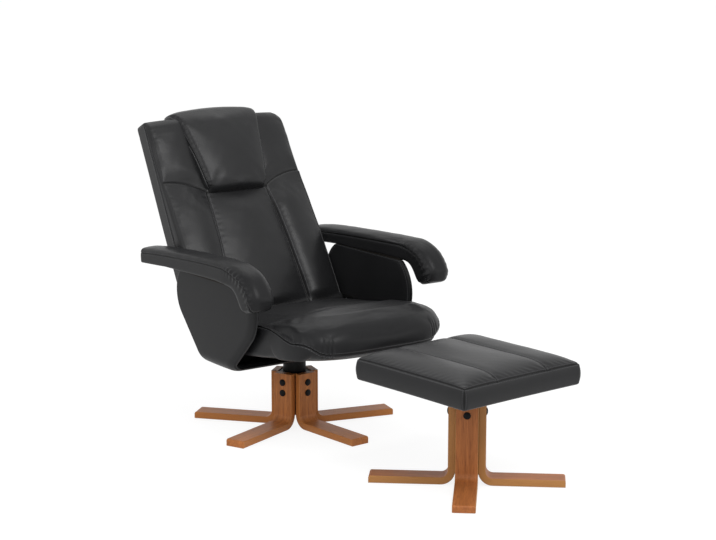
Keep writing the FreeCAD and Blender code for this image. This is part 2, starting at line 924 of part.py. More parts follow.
def headrest(cushion, cover, frame):
    pillow = loft([
        head_section(-1, -head_gusset_drop),
        head_section(0, head_front_crown),
        head_section(1, -head_gusset_drop),
    ])
    pad = cut_all(pillow, [cushion, cover, frame])
    return max(pad.Solids, key=lambda solid: solid.Volume)


def back():
    cushion = back_cushion()
    cover = back_cover()
    frame = cut_all(back_frame_ring(0), arm_plate_screw_holes())
    return {
        "back_frame": frame,
        "back_cushion": cushion,
        "back_cover": cover,
        "headrest_pad": headrest(cushion, cover, back_frame_ring(soft_clear)),
    }


# Recline hinge

def pivot_at(side):
    return side_view(pivot_forward, pivot_height, side)


def bracket_screw_points():
    face = shell_inner - hinge_plate_thick
    return [side_view(pivot_forward + ahead, pivot_height, face) for ahead in hinge_plate_screws]


def bracket_screw_holes():
    holes = []
    for point in bracket_screw_points():
        hole = rod(point, V(1, 0, 0), hinge_screw_radius + fit_clear, hinge_screw_length)
        holes.extend([hole, mirrored(hole)])
    return holes


def hinge_screw(grow):
    head_radius = hinge_screw_head_radius + grow
    return sunk_screw(head_radius, hinge_screw_head, hinge_screw_radius + grow, hinge_screw_length)


def hinge_bracket():
    """Plate on the inside of the shell with a boss that stands the hinge arm off."""
    rear = pivot_forward - hinge_plate_rear
    front = pivot_forward + hinge_plate_front
    low = pivot_height - hinge_plate_half
    top = pivot_height + hinge_plate_half
    corners = [
        side_view(rear, low, shell_inner), side_view(front, low, shell_inner),
        side_view(front, top, shell_inner), side_view(rear, top, shell_inner),
    ]
    plate = slab(rounded(corners, [hinge_plate_corner] * 4), V(-hinge_plate_thick, 0, 0))
    boss = rod(pivot_at(hinge_disc_outer), V(1, 0, 0), hinge_boss_radius, shell_inner - hinge_disc_outer)
    bracket = plate.fuse(boss).removeSplitter()
    bore = rod(pivot_at(hinge_disc_outer - overrun), V(1, 0, 0), hinge_pin_radius + fit_clear, shell_inner)
    holes = [aimed(hinge_screw(fit_clear), point, V(-1, 0, 0)) for point in bracket_screw_points()]
    return cut_all(bracket, [bore] + holes)


def hinge_pin(bore_radius):
    """Pin seated in the bracket's boss; its head holds the hinge arm on."""
    start = hinge_pin_end - hinge_pin_head
    head = rod(pivot_at(start), V(1, 0, 0), hinge_pin_head_radius, hinge_pin_head)
    shank = rod(pivot_at(start), V(1, 0, 0), hinge_pin_radius, shell_inner - start)
    pin = head.fuse(shank).removeSplitter()
    if bore_radius > 0:
        pin = pin.cut(rod(pivot_at(start - overrun), V(1, 0, 0), bore_radius, shell_inner))
    return pin


def washer(inner_side, thick, outer_radius, inner_radius):
    disc = rod(pivot_at(inner_side), V(1, 0, 0), outer_radius, thick)
    return disc.cut(rod(pivot_at(inner_side - overrun), V(1, 0, 0), inner_radius, thick + 2 * overrun))


def rail_front(up):
    """Front face of the frame's curved side rail at a height along the back."""
    share = up / back_rear_mid_up
    bow = (back_rear_mid - back_rear_low) * share * (2 - share)
    return back_rear_low + bow + cover_thick + frame_thick


def hinge_arm_outline(side, grow):
    """Cranked plate: an eye round the pivot, carried back to a strip along the frame's rail."""
    eye = hinge_arm_eye + grow
    def at(up, out):
        return back_view(up, out, side)
    low = frame_low - grow
    knee = hinge_arm_length * hinge_knee_share
    top = hinge_arm_length + grow
    strip = hinge_arm_strip + grow
    corners = [
        at(-eye, eye), at(eye, eye), at(knee, rail_front(knee) + grow), at(top, rail_front(top) + grow),
        at(top, rail_front(top) - strip), at(low, rail_front(low) - strip), at(-eye, -eye),
    ]
    ease = hinge_arm_strip / 4
    radii = [eye - overrun / 2, eye - overrun / 2, hinge_arm_length / 4, ease, ease, ease, eye / 2]
    return rounded(corners, radii)


def hinge_arm():
    plate = slab(hinge_arm_outline(frame_half_width, 0), V(hinge_arm_thick, 0, 0))
    through = hinge_arm_thick + 2 * overrun
    eye = rod(pivot_at(frame_half_width - overrun), V(1, 0, 0), hinge_bush_radius + fit_clear, through)
    holes = [aimed(hinge_screw(fit_clear), point, V(1, 0, 0)) for point in arm_plate_screw_points()]
    return cut_all(plate, [eye] + holes)


def arm_plate_screw_points():
    heights = [hinge_arm_length * share for share in hinge_arm_screw_shares]
    return [back_view(up, rail_front(up) - hinge_arm_strip / 2, hinge_arm_outer) for up in heights]


def arm_plate_screw_holes():
    holes = []
    for point in arm_plate_screw_points():
        hole = rod(point, V(-1, 0, 0), hinge_screw_radius + fit_clear, hinge_screw_length + fit_clear)
        holes.extend([hole, mirrored(hole)])
    return holes


def hinge_screws(points, axis):
    screws = []
    for point in points:
        screw = aimed(hinge_screw(0), point, axis)
        screws.extend([screw, mirrored(screw)])
    return Part.makeCompound(screws)


def hinge_pocket():
    """Room in the cushion's side for the hinge arm, the boss and the end of the pin."""
    depth = hinge_arm_thick + 2 * soft_clear
    recess = slab(hinge_arm_outline(frame_half_width - soft_clear, bolt_clear), V(depth, 0, 0))
    well = rod(
        pivot_at(frame_half_width - hinge_pocket_depth), V(1, 0, 0),
        hinge_boss_radius + 2 * bolt_clear, hinge_pocket_depth + back_low_half - frame_half_width + overrun,
    )
    return recess.fuse(well)


def hinge():
    bracket = hinge_bracket()
    arm = hinge_arm()
    bush_ring = washer(frame_half_width, hinge_arm_thick, hinge_bush_radius, hinge_pin_radius + fit_clear)
    disc = washer(hinge_arm_outer, hinge_disc_thick, hinge_boss_radius, hinge_pin_radius + fit_clear)
    return {
        "hinge_bracket_left": bracket,
        "hinge_bracket_right": mirrored(bracket),
        "hinge_bracket_screws": hinge_screws(bracket_screw_points(), V(-1, 0, 0)),
        "hinge_pin_left": hinge_pin(stud_radius + fit_clear),
        "hinge_pin_right": mirrored(hinge_pin(0)),
        "friction_disc_left": disc,
        "friction_disc_right": mirrored(disc),
        "hinge_arm_left": arm,
        "hinge_arm_right": mirrored(arm),
        "hinge_arm_screws": hinge_screws(arm_plate_screw_points(), V(1, 0, 0)),
        "hinge_bush_left": bush_ring,
        "hinge_bush_right": mirrored(bush_ring),
    }


# Recline knob

def knob():
    face = shell_half_width + knob_gap
    rim = face + knob_hub_length
    stud_start = hinge_pin_end - hinge_pin_head - clamp_nut_thick
    stud = rod(pivot_at(stud_start), V(1, 0, 0), stud_radius, rim + knob_depth / 2 - stud_start)
    nut = washer(stud_start, clamp_nut_thick - fit_clear, clamp_nut_radius, stud_radius + fit_clear)
    dome_radius = (knob_radius ** 2 + knob_dome ** 2) / (2 * knob_dome)
    body = rod(pivot_at(rim), V(1, 0, 0), knob_radius, knob_depth)
    dome = Part.makeSphere(dome_radius, pivot_at(rim + knob_depth - dome_radius))
    body = body.common(dome)
    for i in range(knob_flutes):
        angle = 2 * math.pi * i / knob_flutes
        out = knob_radius + knob_flute_radius - knob_flute_bite
        centre = pivot_at(rim - overrun) + V(0, out * math.cos(angle), out * math.sin(angle))
        body = body.cut(rod(centre, V(1, 0, 0), knob_flute_radius, knob_depth + 2 * overrun))
    body = body.fuse(rod(pivot_at(face), V(1, 0, 0), knob_hub_radius, knob_hub_length)).removeSplitter()
    socket_depth = overrun + knob_hub_length + knob_depth / 2
    socket = rod(pivot_at(face - overrun), V(1, 0, 0), stud_radius + fit_clear, socket_depth)
    return {
        "recline_knob": body.cut(socket),
        "knob_stud": stud,
        "clamp_nut": nut,
    }


# Footstool

def stool_section(across, half, height):
    """Cushion outline on a plane across the stool: flat underside, upright boxing and crowned top."""
    bottom = stool_board_bottom
    seam = bottom + stool_boxing
    middle = (bottom + seam) / 2
    belly = half + soft_clear
    edges = [
        line(V(across, -half, bottom), V(across, half, bottom)),
        arc(V(across, half, bottom), V(across, belly, middle), V(across, half, seam)),
        arc(V(across, half, seam), V(across, 0, seam + height), V(across, -half, seam)),
        arc(V(across, -half, seam), V(across, -belly, middle), V(across, -half, bottom)),
    ]
    return Part.Wire(edges)


def stool_cushion():
    half = stool_half
    waist = stool_half - stool_draw
    knee = stool_half - stool_draw / 2
    panel_middle = (stool_half + stool_seam_half) / 2
    seam_height = stool_crown - stool_seam_dip
    centre = loft([
        stool_section(-stool_seam_half, waist, seam_height),
        stool_section(0, waist, stool_crown),
        stool_section(stool_seam_half, waist, seam_height),
    ])
    side = loft([
        stool_section(stool_seam_half, waist, seam_height),
        stool_section(panel_middle, knee, stool_side_panel_crown),
        stool_section(half, half, stool_seam_dip),
    ])
    cushion = fuse([centre, side, mirrored(side)])
    hollow_radius = half ** 2 / (2 * stool_draw)
    hollow_centre = half - stool_draw + hollow_radius
    hollow_height = stool_boxing + stool_crown + 2 * overrun
    for sign in (-1, 1):
        foot = V(sign * hollow_centre, 0, stool_board_bottom - overrun)
        cushion = cushion.cut(rod(foot, V(0, 0, 1), hollow_radius, hollow_height))
    return cushion.cut(stool_board(soft_clear))


def square(half, height, corner):
    corners = [V(-half, -half, height), V(half, -half, height), V(half, half, height), V(-half, half, height)]
    return rounded(corners, [corner] * 4)


def stool_board(grow):
    half = stool_half - stool_board_margin + grow
    return slab(square(half, stool_board_bottom, stool_corner), V(0, 0, board_thick + grow))


def stool_screw_points():
    inset = stool_plate_half - stool_screw_inset
    return [V(x * inset, y * inset, stool_post_top) for x in (-1, 1) for y in (-1, 1)]


def footstool():
    parts = {}
    bolts = []
    glides = []
    for i in range(stool_leg_count):
        angle = stool_leg_angle + 360 * i / stool_leg_count
        leg = leg_body(stool_leg_reach, stool_hub_flat, stool_post_top, stool_bolt_drops)
        parts["stool_leg_%d" % (i + 1)] = turned(leg, angle)
        glides.append(turned(leg_glide(stool_leg_reach), angle))
        for bolt in leg_bolts(stool_hub_flat, stool_post_top, stool_bolt_drops):
            bolts.append(turned(bolt, angle))
    hub = hub_block(
        stool_leg_count, stool_hub_flat, leg_bottom + leg_bend + leg_thick, stool_post_top,
        stool_post_top, stool_bolt_drops, stool_hub_flat / 2,
    )
    parts["stool_hub"] = turned(hub, stool_leg_angle)
    parts["stool_leg_bolts"] = Part.makeCompound(bolts)
    parts["stool_leg_glides"] = Part.makeCompound(glides)
    plate = slab(square(stool_plate_half, stool_post_top, stool_plate_corner), V(0, 0, stool_plate_thick))
    board = stool_board(0)
    screws = []
    for point in stool_screw_points():
        hole = aimed(hinge_screw(fit_clear), point, V(0, 0, -1))
        plate = plate.cut(hole)
        board = board.cut(hole)
        screws.append(aimed(hinge_screw(0), point, V(0, 0, -1)))
    parts["stool_plate"] = plate
    parts["stool_plate_screws"] = Part.makeCompound(screws)
    parts["stool_board"] = board
    parts["stool_cushion"] = stool_cushion()
    for name, shape in parts.items():
        parts[name] = turned(shape, stool_turn)
        parts[name].translate(V(stool_side, -stool_forward, 0))
    return parts


def all_parts():
    parts = {}
    parts.update(chair_base())
    parts.update(swivel())
    parts["swivel_plate"] = swivel_plate()
    parts["swivel_plate_bolts"] = plate_bolts()
    parts["side_shell"] = side_shell()
    parts.update(seat())
    parts.update(arms())
    parts.update(back())
    parts.update(hinge())
    parts.update(knob())
    parts.update(footstool())
    return parts


os.makedirs("parts", exist_ok=True)
for node, shape in all_parts().items():
    shape.translate(V(0, footprint_centre, 0))
    shape.exportStep("parts/%s.step" % node)
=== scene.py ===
import json
import math

import bpy
import numpy as np
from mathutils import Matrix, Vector


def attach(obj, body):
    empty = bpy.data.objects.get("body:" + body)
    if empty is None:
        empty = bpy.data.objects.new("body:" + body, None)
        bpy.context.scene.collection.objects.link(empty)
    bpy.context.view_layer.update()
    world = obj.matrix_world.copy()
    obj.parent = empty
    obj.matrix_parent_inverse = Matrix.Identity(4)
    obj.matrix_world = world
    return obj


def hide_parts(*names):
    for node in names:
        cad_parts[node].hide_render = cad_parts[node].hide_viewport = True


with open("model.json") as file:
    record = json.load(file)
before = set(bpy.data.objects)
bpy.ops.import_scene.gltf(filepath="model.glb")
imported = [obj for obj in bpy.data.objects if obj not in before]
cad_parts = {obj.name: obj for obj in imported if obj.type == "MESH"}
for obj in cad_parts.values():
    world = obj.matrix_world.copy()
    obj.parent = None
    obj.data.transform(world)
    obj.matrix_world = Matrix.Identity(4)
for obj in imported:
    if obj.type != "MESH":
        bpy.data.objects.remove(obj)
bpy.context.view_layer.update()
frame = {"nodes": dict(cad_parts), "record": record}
nodes = frame["nodes"]
print("stage: frame loaded")


# Places in the chair, in metres

shift = 0.274  # the swivel axis lies this far behind the set's middle
stoolAhead = 0.837  # the footstool's middle lies this far in front of the swivel axis
stoolTurn = 4.8  # degrees that the footstool is turned against the seat
seatFrame = dict(tilt=math.radians(8), forward=-0.098, height=0.2615)
backFrame = dict(lean=math.radians(27), forward=-0.135, height=0.366)  # on the hinge line
tiny = 1e-6  # slack when places are compared


def columns(a, b, c):  # three numbers or arrays side by side, one point in each row
    return np.stack(np.broadcast_arrays(a, b, c), -1)


def place(forward, side, height):  # the sitter's left is +X, and forward of the swivel axis is -Y
    return columns(side, shift - forward, height)


def seatPoint(along, up, side):  # along and up from the seat's rear low edge, both turned by the tilt
    tilt = seatFrame["tilt"]
    forward = seatFrame["forward"] + along * math.cos(tilt) - up * math.sin(tilt)
    return place(forward, side, seatFrame["height"] + along * math.sin(tilt) + up * math.cos(tilt))


def backPoint(up, out, side):  # up and out from the hinge line, both turned by the lean
    lean = backFrame["lean"]
    forward = backFrame["forward"] - up * math.sin(lean) + out * math.cos(lean)
    return place(forward, side, backFrame["height"] + up * math.cos(lean) + out * math.sin(lean))


# Number helpers on whole arrays

def ease(t):  # smooth step: three t squared less two t cubed, with t held between 0 and 1
    t = np.clip(t, 0, 1)
    return t * t * (3 - 2 * t)


def bell(distance, width):  # e to the power of minus the square of distance over width
    return np.exp(-(distance / width) ** 2)


def waves(distance, length, wobble):  # sine of one turn for each length, with its phase moved by the wobble
    return np.sin(distance * 2 * math.pi / length + wobble)


def unit(vectors):  # each row over its length
    return vectors / np.linalg.norm(vectors, axis=1, keepdims=True)


def steps(stops, counts):  # even steps from stop to stop, each stretch with its own count
    runs = [np.linspace(a, b, n, endpoint=False) for a, b, n in zip(stops[:-1], stops[1:], counts)]
    return np.concatenate(runs + [np.array(stops[-1:])])


def twoRuns(share, middle, end):  # 0 to middle over the first half of the share, then on to the end
    return np.where(share < 0.5, middle * share * 2, middle + (end - middle) * (share * 2 - 1))


def curve(points, count):  # cubic line through the points, its slope at each taken from the two beside it
    p = np.asarray(points, float)
    p = np.vstack([2 * p[0] - p[1], p, 2 * p[-1] - p[-2]])
    spans = len(p) - 3
    t = np.linspace(0, spans, 40 * spans + 1)
    k = np.minimum(t.astype(int), spans - 1)
    f = (t - k)[:, None]
    a, b, c, d = p[k], p[k + 1], p[k + 2], p[k + 3]
    square, cube = 2 * a - 5 * b + 4 * c - d, 3 * b - a - 3 * c + d
    line = 0.5 * (2 * b + (c - a) * f + square * f ** 2 + cube * f ** 3)
    length = np.concatenate([[0], np.cumsum(np.linalg.norm(np.diff(line, axis=0), axis=1))])
    even = np.linspace(0, length[-1], count)  # read at even distances
    return even, np.stack([np.interp(even, length, row) for row in line.T], -1)


def throughThree(z, first, second, third, sign):
    # circle through three (forward, height) points: its centre and half of its chord at height z
    (x1, y1), (x2, y2), (x3, y3) = first, second, third
    d = 2 * (x1 * (y2 - y3) + x2 * (y3 - y1) + x3 * (y1 - y2))
    s1, s2, s3 = x1 ** 2 + y1 ** 2, x2 ** 2 + y2 ** 2, x3 ** 2 + y3 ** 2
    cx = (s1 * (y2 - y3) + s2 * (y3 - y1) + s3 * (y1 - y2)) / d
    cy = (s1 * (x3 - x2) + s2 * (x1 - x3) + s3 * (x2 - x1)) / d
    radius = math.hypot(x1 - cx, y1 - cy)
    return cx + sign * np.sqrt(np.maximum(radius ** 2 - (z - cy) ** 2, 0))


def ripple(a, b, seed):  # six sine waves in seeded directions, each finer and weaker than the last
    rng = np.random.default_rng(seed)
    total = 0
    for k in range(6):
        fa, fb, phase = rng.uniform(-1, 1), rng.uniform(-1, 1), rng.uniform(0, 6.28)
        total = total + np.sin((fa * a + fb * b) * (70 + 45 * k) + phase) / (1 + 0.6 * k)
    return total / 3


# Mesh helpers

def lattice(ps, qs, rs):  # grid on the six faces of a box, with shared edges: points, step numbers, quads
    sizes = [len(ps), len(qs), len(rs)]
    quads = []
    for axis in range(3):
        a, b = [k for k in range(3) if k != axis]
        i, j = np.meshgrid(np.arange(sizes[a]), np.arange(sizes[b]), indexing="ij")
        for end in (0, sizes[axis] - 1):
            index = [None, None, None]
            index[axis], index[a], index[b] = np.full_like(i, end), i, j
            key = (index[0] * sizes[1] + index[1]) * sizes[2] + index[2]
            quad = np.stack([key[:-1, :-1], key[1:, :-1], key[1:, 1:], key[:-1, 1:]], -1).reshape(-1, 4)
            flip = (end == 0) if axis != 1 else (end != 0)
            quads.append(quad[:, ::-1] if flip else quad)
    used, inverse = np.unique(np.concatenate(quads), return_inverse=True)
    i, j, k = used // (sizes[1] * sizes[2]), used // sizes[2] % sizes[1], used % sizes[2]
    return columns(ps[i], qs[j], rs[k]), columns(i, j, k), inverse.reshape(-1, 4)


def softened(points, low, high, radiusLow, radiusHigh):
    # box with elliptic edges: what stands past the inner box is scaled back onto the ellipse of the radii
    inner = np.clip(points, low + radiusLow, high - radiusHigh)
    gap = points - inner
    radius = np.where(gap < 0, radiusLow, radiusHigh)
    share = gap / radius
    size = np.linalg.norm(share, axis=1, keepdims=True)
    return inner + share / np.maximum(size, 1) * radius


def makeMesh(name, points, faces):  # faces are turned round where the volume they enclose is negative
    a, b, c, d = np.moveaxis(points[faces], 1, 0)
    if np.sum(a * (np.cross(b, c) + np.cross(c, d))) < 0:
        faces = faces[:, ::-1]
    mesh = bpy.data.meshes.new(name)
    mesh.from_pydata(points.tolist(), [], faces.tolist())
    mesh.polygons.foreach_set("use_smooth", np.ones(len(faces), bool))
    mesh.update()
    obj = bpy.data.objects.new(name, mesh)
    bpy.context.scene.collection.objects.link(obj)
    return obj


def vectorsOf(obj, kind):  # "co" or "normal" of every vertex
    flat = np.empty(len(obj.data.vertices) * 3, np.float32)
    obj.data.vertices.foreach_get(kind, flat)
    return flat.reshape(-1, 3).astype(float)


def setPoints(obj, points):
    obj.data.vertices.foreach_set("co", points.astype(np.float32).ravel())
    obj.data.update()


def setFields(obj, **fields):  # one number a vertex, for the material to read
    for name, values in fields.items():
        field = obj.data.attributes.new(name, "FLOAT", "POINT")
        field.data.foreach_set("value", values.astype(np.float32))


def push(obj, amount):  # each point moves along its normal by the amount
    setPoints(obj, vectorsOf(obj, "co") + vectorsOf(obj, "normal") * amount[:, None])


def inOrder(points, chosen, order):  # chosen points, sorted by their step number
    return points[chosen][np.argsort(order[chosen])]


def evened(obj, field, rounds):  # each round: half the field, half the mean of the neighbours along edges
    flat = np.empty(len(obj.data.edges) * 2, np.int32)
    obj.data.edges.foreach_get("vertices", flat)
    a, b = flat.reshape(-1, 2).T
    size = len(field)
    count = np.bincount(flat, minlength=size)
    for _ in range(rounds):
        near = [(np.bincount(a, f[b], size) + np.bincount(b, f[a], size)) / count for f in field.T]
        field = 0.5 * field + 0.5 * np.stack(near, -1)
    return field


clothSpec = dict(quality=4, mass=0.3, stretch=15, shear=5, bending=4, pressure=4.0, frames=17, rounds=14)


def inflate(obj, cap, *held):
    # cloth under pressure, its move evened out, faded where a share in held nears 1 and cut off at the cap
    pinned = np.maximum.reduce([share * 1.0 for share in held])
    rest = vectorsOf(obj, "co")
    group = obj.vertex_groups.new(name="pin")
    for level in np.unique(np.round(pinned, 1)):
        group.add(np.nonzero(np.round(pinned, 1) == level)[0].tolist(), float(level), "REPLACE")
    cloth = obj.modifiers.new("cloth", "CLOTH")
    s = cloth.settings
    s.quality = clothSpec["quality"]
    s.mass = clothSpec["mass"]
    s.tension_stiffness = s.compression_stiffness = clothSpec["stretch"]
    s.shear_stiffness = clothSpec["shear"]
    s.bending_stiffness = clothSpec["bending"]
    s.use_pressure = True
    s.uniform_pressure_force = clothSpec["pressure"]
    s.vertex_group_mass = "pin"
    s.effector_weights.gravity = 0
    scene = bpy.context.scene
    for number in range(clothSpec["frames"]):
        scene.frame_set(number + 1)
    shown = obj.evaluated_get(bpy.context.evaluated_depsgraph_get())
    move = evened(obj, vectorsOf(shown, "co") - rest, clothSpec["rounds"]) * (1 - pinned)[:, None]
    obj.modifiers.remove(cloth)
    obj.vertex_groups.remove(group)
    scene.frame_set(1)
    size = np.linalg.norm(move, axis=1, keepdims=True)
    setPoints(obj, rest + move * cap / np.maximum(cap, size))
    print("cloth:", obj.name, "moved up to", round(float(size.max()) * 1000, 1), "mm")


def tube(name, line, radius):  # ring of eight points carried square to the line, thinner at its closed ends
    sides = 8
    line = np.asarray(line, float)
    tangent = unit(np.gradient(line, axis=0))
    guide = np.array([0.31, 0.17, 0.93])  # any direction that no pipe follows
    across = unit(np.cross(tangent, guide))
    up = np.cross(across, tangent)
    angle = np.linspace(0, 2 * math.pi, sides, endpoint=False)[None, :, None]
    ring = across[:, None] * np.cos(angle) + up[:, None] * np.sin(angle)
    number = np.arange(len(line))
    taper = np.sqrt(np.clip(np.minimum(number, number[::-1]) / 2.0, 0.02, 1))
    points = (line[:, None] + ring * radius * taper[:, None, None]).reshape(-1, 3)
    i, j = np.meshgrid(number[:-1] * sides, np.arange(sides), indexing="ij")
    n = (j + 1) % sides
    walls = np.stack([i + j, i + n, i + sides + n, i + sides + j], -1).reshape(-1, 4)
    cap = np.array([[3, 2, 1, 0], [7, 4, 3, 0], [6, 5, 4, 7]])
    return makeMesh(name, points, np.concatenate([walls, cap, cap[:, ::-1] + sides * number[-1]]))


def finishSoft(obj, body, material, fill, *replaced):  # fill is not used; it is None on trim that isn't a pad
    obj.data.materials.append(material)
    extra = obj.modifiers.new("smooth", "SUBSURF")
    extra.levels = extra.render_levels = 1
    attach(obj, body)
    if replaced:
        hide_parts(*replaced)


# Shader helpers

class Wire:  # a node's output that takes part in sums
    def __init__(self, graph, socket):
        self.graph = graph
        self.socket = socket

    def maths(self, operation, *others):
        return self.graph.maths(operation, self, *others)

    def __add__(self, other):
        return self.maths("ADD", other)

    def __sub__(self, other):
        return self.maths("SUBTRACT", other)

    def __rsub__(self, other):
        return self.graph.maths("SUBTRACT", other, self)

    def __mul__(self, other):
        return self.maths("MULTIPLY", other)

    def __truediv__(self, other):
        return self.maths("DIVIDE", other)

    def __rtruediv__(self, other):
        return self.graph.maths("DIVIDE", other, self)

    __radd__ = __add__
    __rmul__ = __mul__

    def size(self):
        return self.maths("ABSOLUTE")

    def below(self, edge, soft):  # 1 under the edge, 0 above it, with a smooth step
        ends = {0: self, 1: edge - soft, 2: edge + soft, 3: 1, 4: 0}
        return self.graph.node("ShaderNodeMapRange", {"interpolation_type": "SMOOTHSTEP"}, ends)

    def other(self, name):  # another output of the same node
        return Wire(self.graph, self.socket.node.outputs[name])


class Graph:
    def __init__(self, tree):
        self.tree = tree

    def node(self, kind, settings, sockets, out=0):  # settings first, then values or links of the sockets
        made = self.tree.nodes.new(kind)
        for name, value in settings.items():
            setattr(made, name, value)
        for name, value in sockets.items():
            self.fill(made.inputs[name], value)
        return Wire(self, made.outputs[out])

    def fill(self, slot, value):
        if isinstance(value, Wire):
            self.tree.links.new(value.socket, slot)
        else:
            slot.default_value = value

    def maths(self, operation, *values):
        return self.node("ShaderNodeMath", {"operation": operation}, dict(enumerate(values)))


class Look(Graph):  # a material, with patterns on the object's own coordinates
    def __init__(self, name):
        self.material = bpy.data.materials.new(name)
        self.material.use_nodes = True
        super().__init__(self.material.node_tree)
        self.shader = self.tree.nodes["Principled BSDF"]
        self.spot = self.node("ShaderNodeTexCoord", {}, {}, "Object")

    def field(self, name):
        return self.node("ShaderNodeAttribute", {"attribute_name": name}, {}, "Fac")

    def parts(self):
        x = self.node("ShaderNodeSeparateXYZ", {}, {0: self.spot})
        return x, x.other("Y"), x.other("Z")

    def joined(self, x, y, z):
        return self.node("ShaderNodeCombineXYZ", {}, {0: x, 1: y, 2: z})

    def noise(self, scale, detail=2.0, vector=None):
        ends = {"Vector": vector or self.spot, "Scale": scale, "Detail": detail}
        return self.node("ShaderNodeTexNoise", {}, ends)

    def mix(self, share, first, second):
        ends = [value if isinstance(value, Wire) else (*value, 1) for value in (first, second)]
        return self.node("ShaderNodeMix", {"data_type": "RGBA"}, {0: share, 6: ends[0], 7: ends[1]}, 2)

    def put(self, name, value):
        self.fill(self.shader.inputs[name], value)

    def bump(self, height, strength, distance):
        ends = {"Strength": strength, "Distance": distance, "Height": height}
        self.put("Normal", self.node("ShaderNodeBump", {}, ends))


leatherSpec = dict(
    grain=520, pore=1400, cloud=7, fold=30,  # pattern scales
    grainHigh=0.00013, poreHigh=0.00003, foldHigh=0.0004, stitchHigh=0.0005, crackDeep=0.0010,
    dark=(0.0085, 0.0086, 0.0092), light=(0.0150, 0.0151, 0.0160),
    # colour, share, half width and softness of a painted highlight along each seam
    paintedSheen=(0.024, 0.024, 0.025), paintedSheenShare=0.6, paintedSheenHalf=0.008, paintedSheenSoft=0.006,
    crack=(0.002, 0.002, 0.002), crackHalf=0.0013, plainCrackHalf=0.0017, crackSoft=0.0007,
    stitchHalf=0.0007, stitchSoft=0.0004, stitchStep=0.0065, stitchShare=0.68, dashSoft=0.08,
    rough=0.29, cloudRough=0.09, grainRough=0.06, bump=0.5, gloss=0.26, thread=0.070, coolThread=1.05,
)


def leather(name, seams, gloss=leatherSpec["gloss"], thread=leatherSpec["thread"]):
    # grain, pores and folds, and a painted highlight along each seam; each seam gives its distance field, its
    # field along and its stitches' offset or 0
    s = leatherSpec
    look = Look(name)
    grain = look.node("ShaderNodeTexVoronoi", {}, {"Vector": look.spot, "Scale": s["grain"], "Detail": 1.0})
    pore = look.noise(s["pore"])
    cloud = look.noise(s["cloud"], 3.0)
    fold = look.noise(s["fold"], 3.0)
    height = grain * s["grainHigh"] + pore * s["poreHigh"] + fold * s["foldHigh"]
    tone = look.mix(cloud, s["dark"], s["light"])
    for distance, along, offset in seams:
        d = look.field(distance).size()
        # painted highlight: a lighter band along each seam's edge, patchy after the fold noise
        paintedSheen = d.below(s["paintedSheenHalf"], s["paintedSheenSoft"]) * fold
        tone = look.mix(paintedSheen * s["paintedSheenShare"], tone, s["paintedSheen"])
        if offset:
            line = (d - offset).size().below(s["stitchHalf"], s["stitchSoft"])
            dash = (look.field(along) / s["stitchStep"]).maths("FRACT")
            stitch = line * dash.below(s["stitchShare"], s["dashSoft"])
            tone = look.mix(stitch, tone, (thread, thread, thread * s["coolThread"]))
            height = height + stitch * s["stitchHigh"]
        crack = d.below(s["crackHalf"] if offset else s["plainCrackHalf"], s["crackSoft"])
        tone = look.mix(crack, tone, s["crack"])
        height = height - crack * s["crackDeep"]
    look.put("Base Color", tone)
    look.put("Roughness", cloud * s["cloudRough"] + grain * s["grainRough"] + s["rough"])
    look.put("Specular IOR Level", gloss)
    look.bump(height, s["bump"], 1.0)
    return look.material


def plain(name, dark, light, rough, metal, cloudScale, grainScale, depth):
    # two tones mixed in clouds; clouds and grain make the roughness uneven, and grain makes the bump
    cloudRough, grainRough, bump = 0.14, 0.08, 0.35
    look = Look(name)
    cloud = look.noise(cloudScale, 4.0)
    grain = look.noise(grainScale)
    look.put("Base Color", look.mix(cloud, dark, light))
    look.put("Roughness", cloud * cloudRough + grain * grainRough + (rough - (cloudRough + grainRough) / 2))
    look.put("Metallic", metal)
    look.put("Specular IOR Level", 0.5 if metal else 0.10)
    look.bump(grain, bump, depth)
    return look.material


def bentWood(name, angle, wood):
    # grain follows the strip round its bend: along is the way out from the post less the height
    look = Look(name)
    x, y, z = look.parts()
    x, y = x - wood["centre"][0], y - wood["centre"][1]
    c, s = math.cos(angle), math.sin(angle)
    radial = x * c + y * s
    across = y * c - x * s
    along = radial - z
    depth = (radial - wood["inner"]).maths("MINIMUM", z)
    # pattern scales along, across and into the strip; the angle makes each leg's figure its own
    streak = look.noise(1.0, 4.0, look.joined(along * 5.0, across * 130.0, depth * 60.0 + angle))
    figure = look.noise(1.0, 3.0, look.joined(along * 2.2, across * 26.0, depth * 14.0 + angle * 3))
    ply = look.noise(1.0, 1.0, look.joined(along * 0.6, 0.0, depth * 420.0))
    pores = look.noise(1.0, 2.0, look.joined(along * 30.0, across * 700.0, depth * 700.0))
    mixed = (streak - 0.5) * 1.1 + (figure - 0.5) * 0.8 + ply * 0.15 + 0.43
    tone = look.mix(mixed.maths("SMOOTH_MIN", 1.0, 0.05), wood["dark"], wood["light"])
    tone = look.mix((pores - 0.54) * 4.0, tone, wood["tint"])
    glue = (depth / wood["ply"]).maths("FRACT").below(0.16, 0.10)  # thin lines between the bent layers
    plies = look.mix(glue * 0.55 + streak * 0.35, wood["edge"], wood["dark"])
    tone = look.mix(across.size().below(wood["half"], 0.0006), plies, tone)
    look.put("Base Color", tone)
    look.put("Roughness", streak * 0.14 + wood["rough"])
    look.put("Specular IOR Level", wood["gloss"])
    look.bump(streak * 0.5 + pores, 0.18, 0.0006)
    return look.material


def dress(obj, material):
    obj.data.materials.clear()
    obj.data.materials.append(material)


print("stage: helpers ready")

# Hard pieces from the CAD

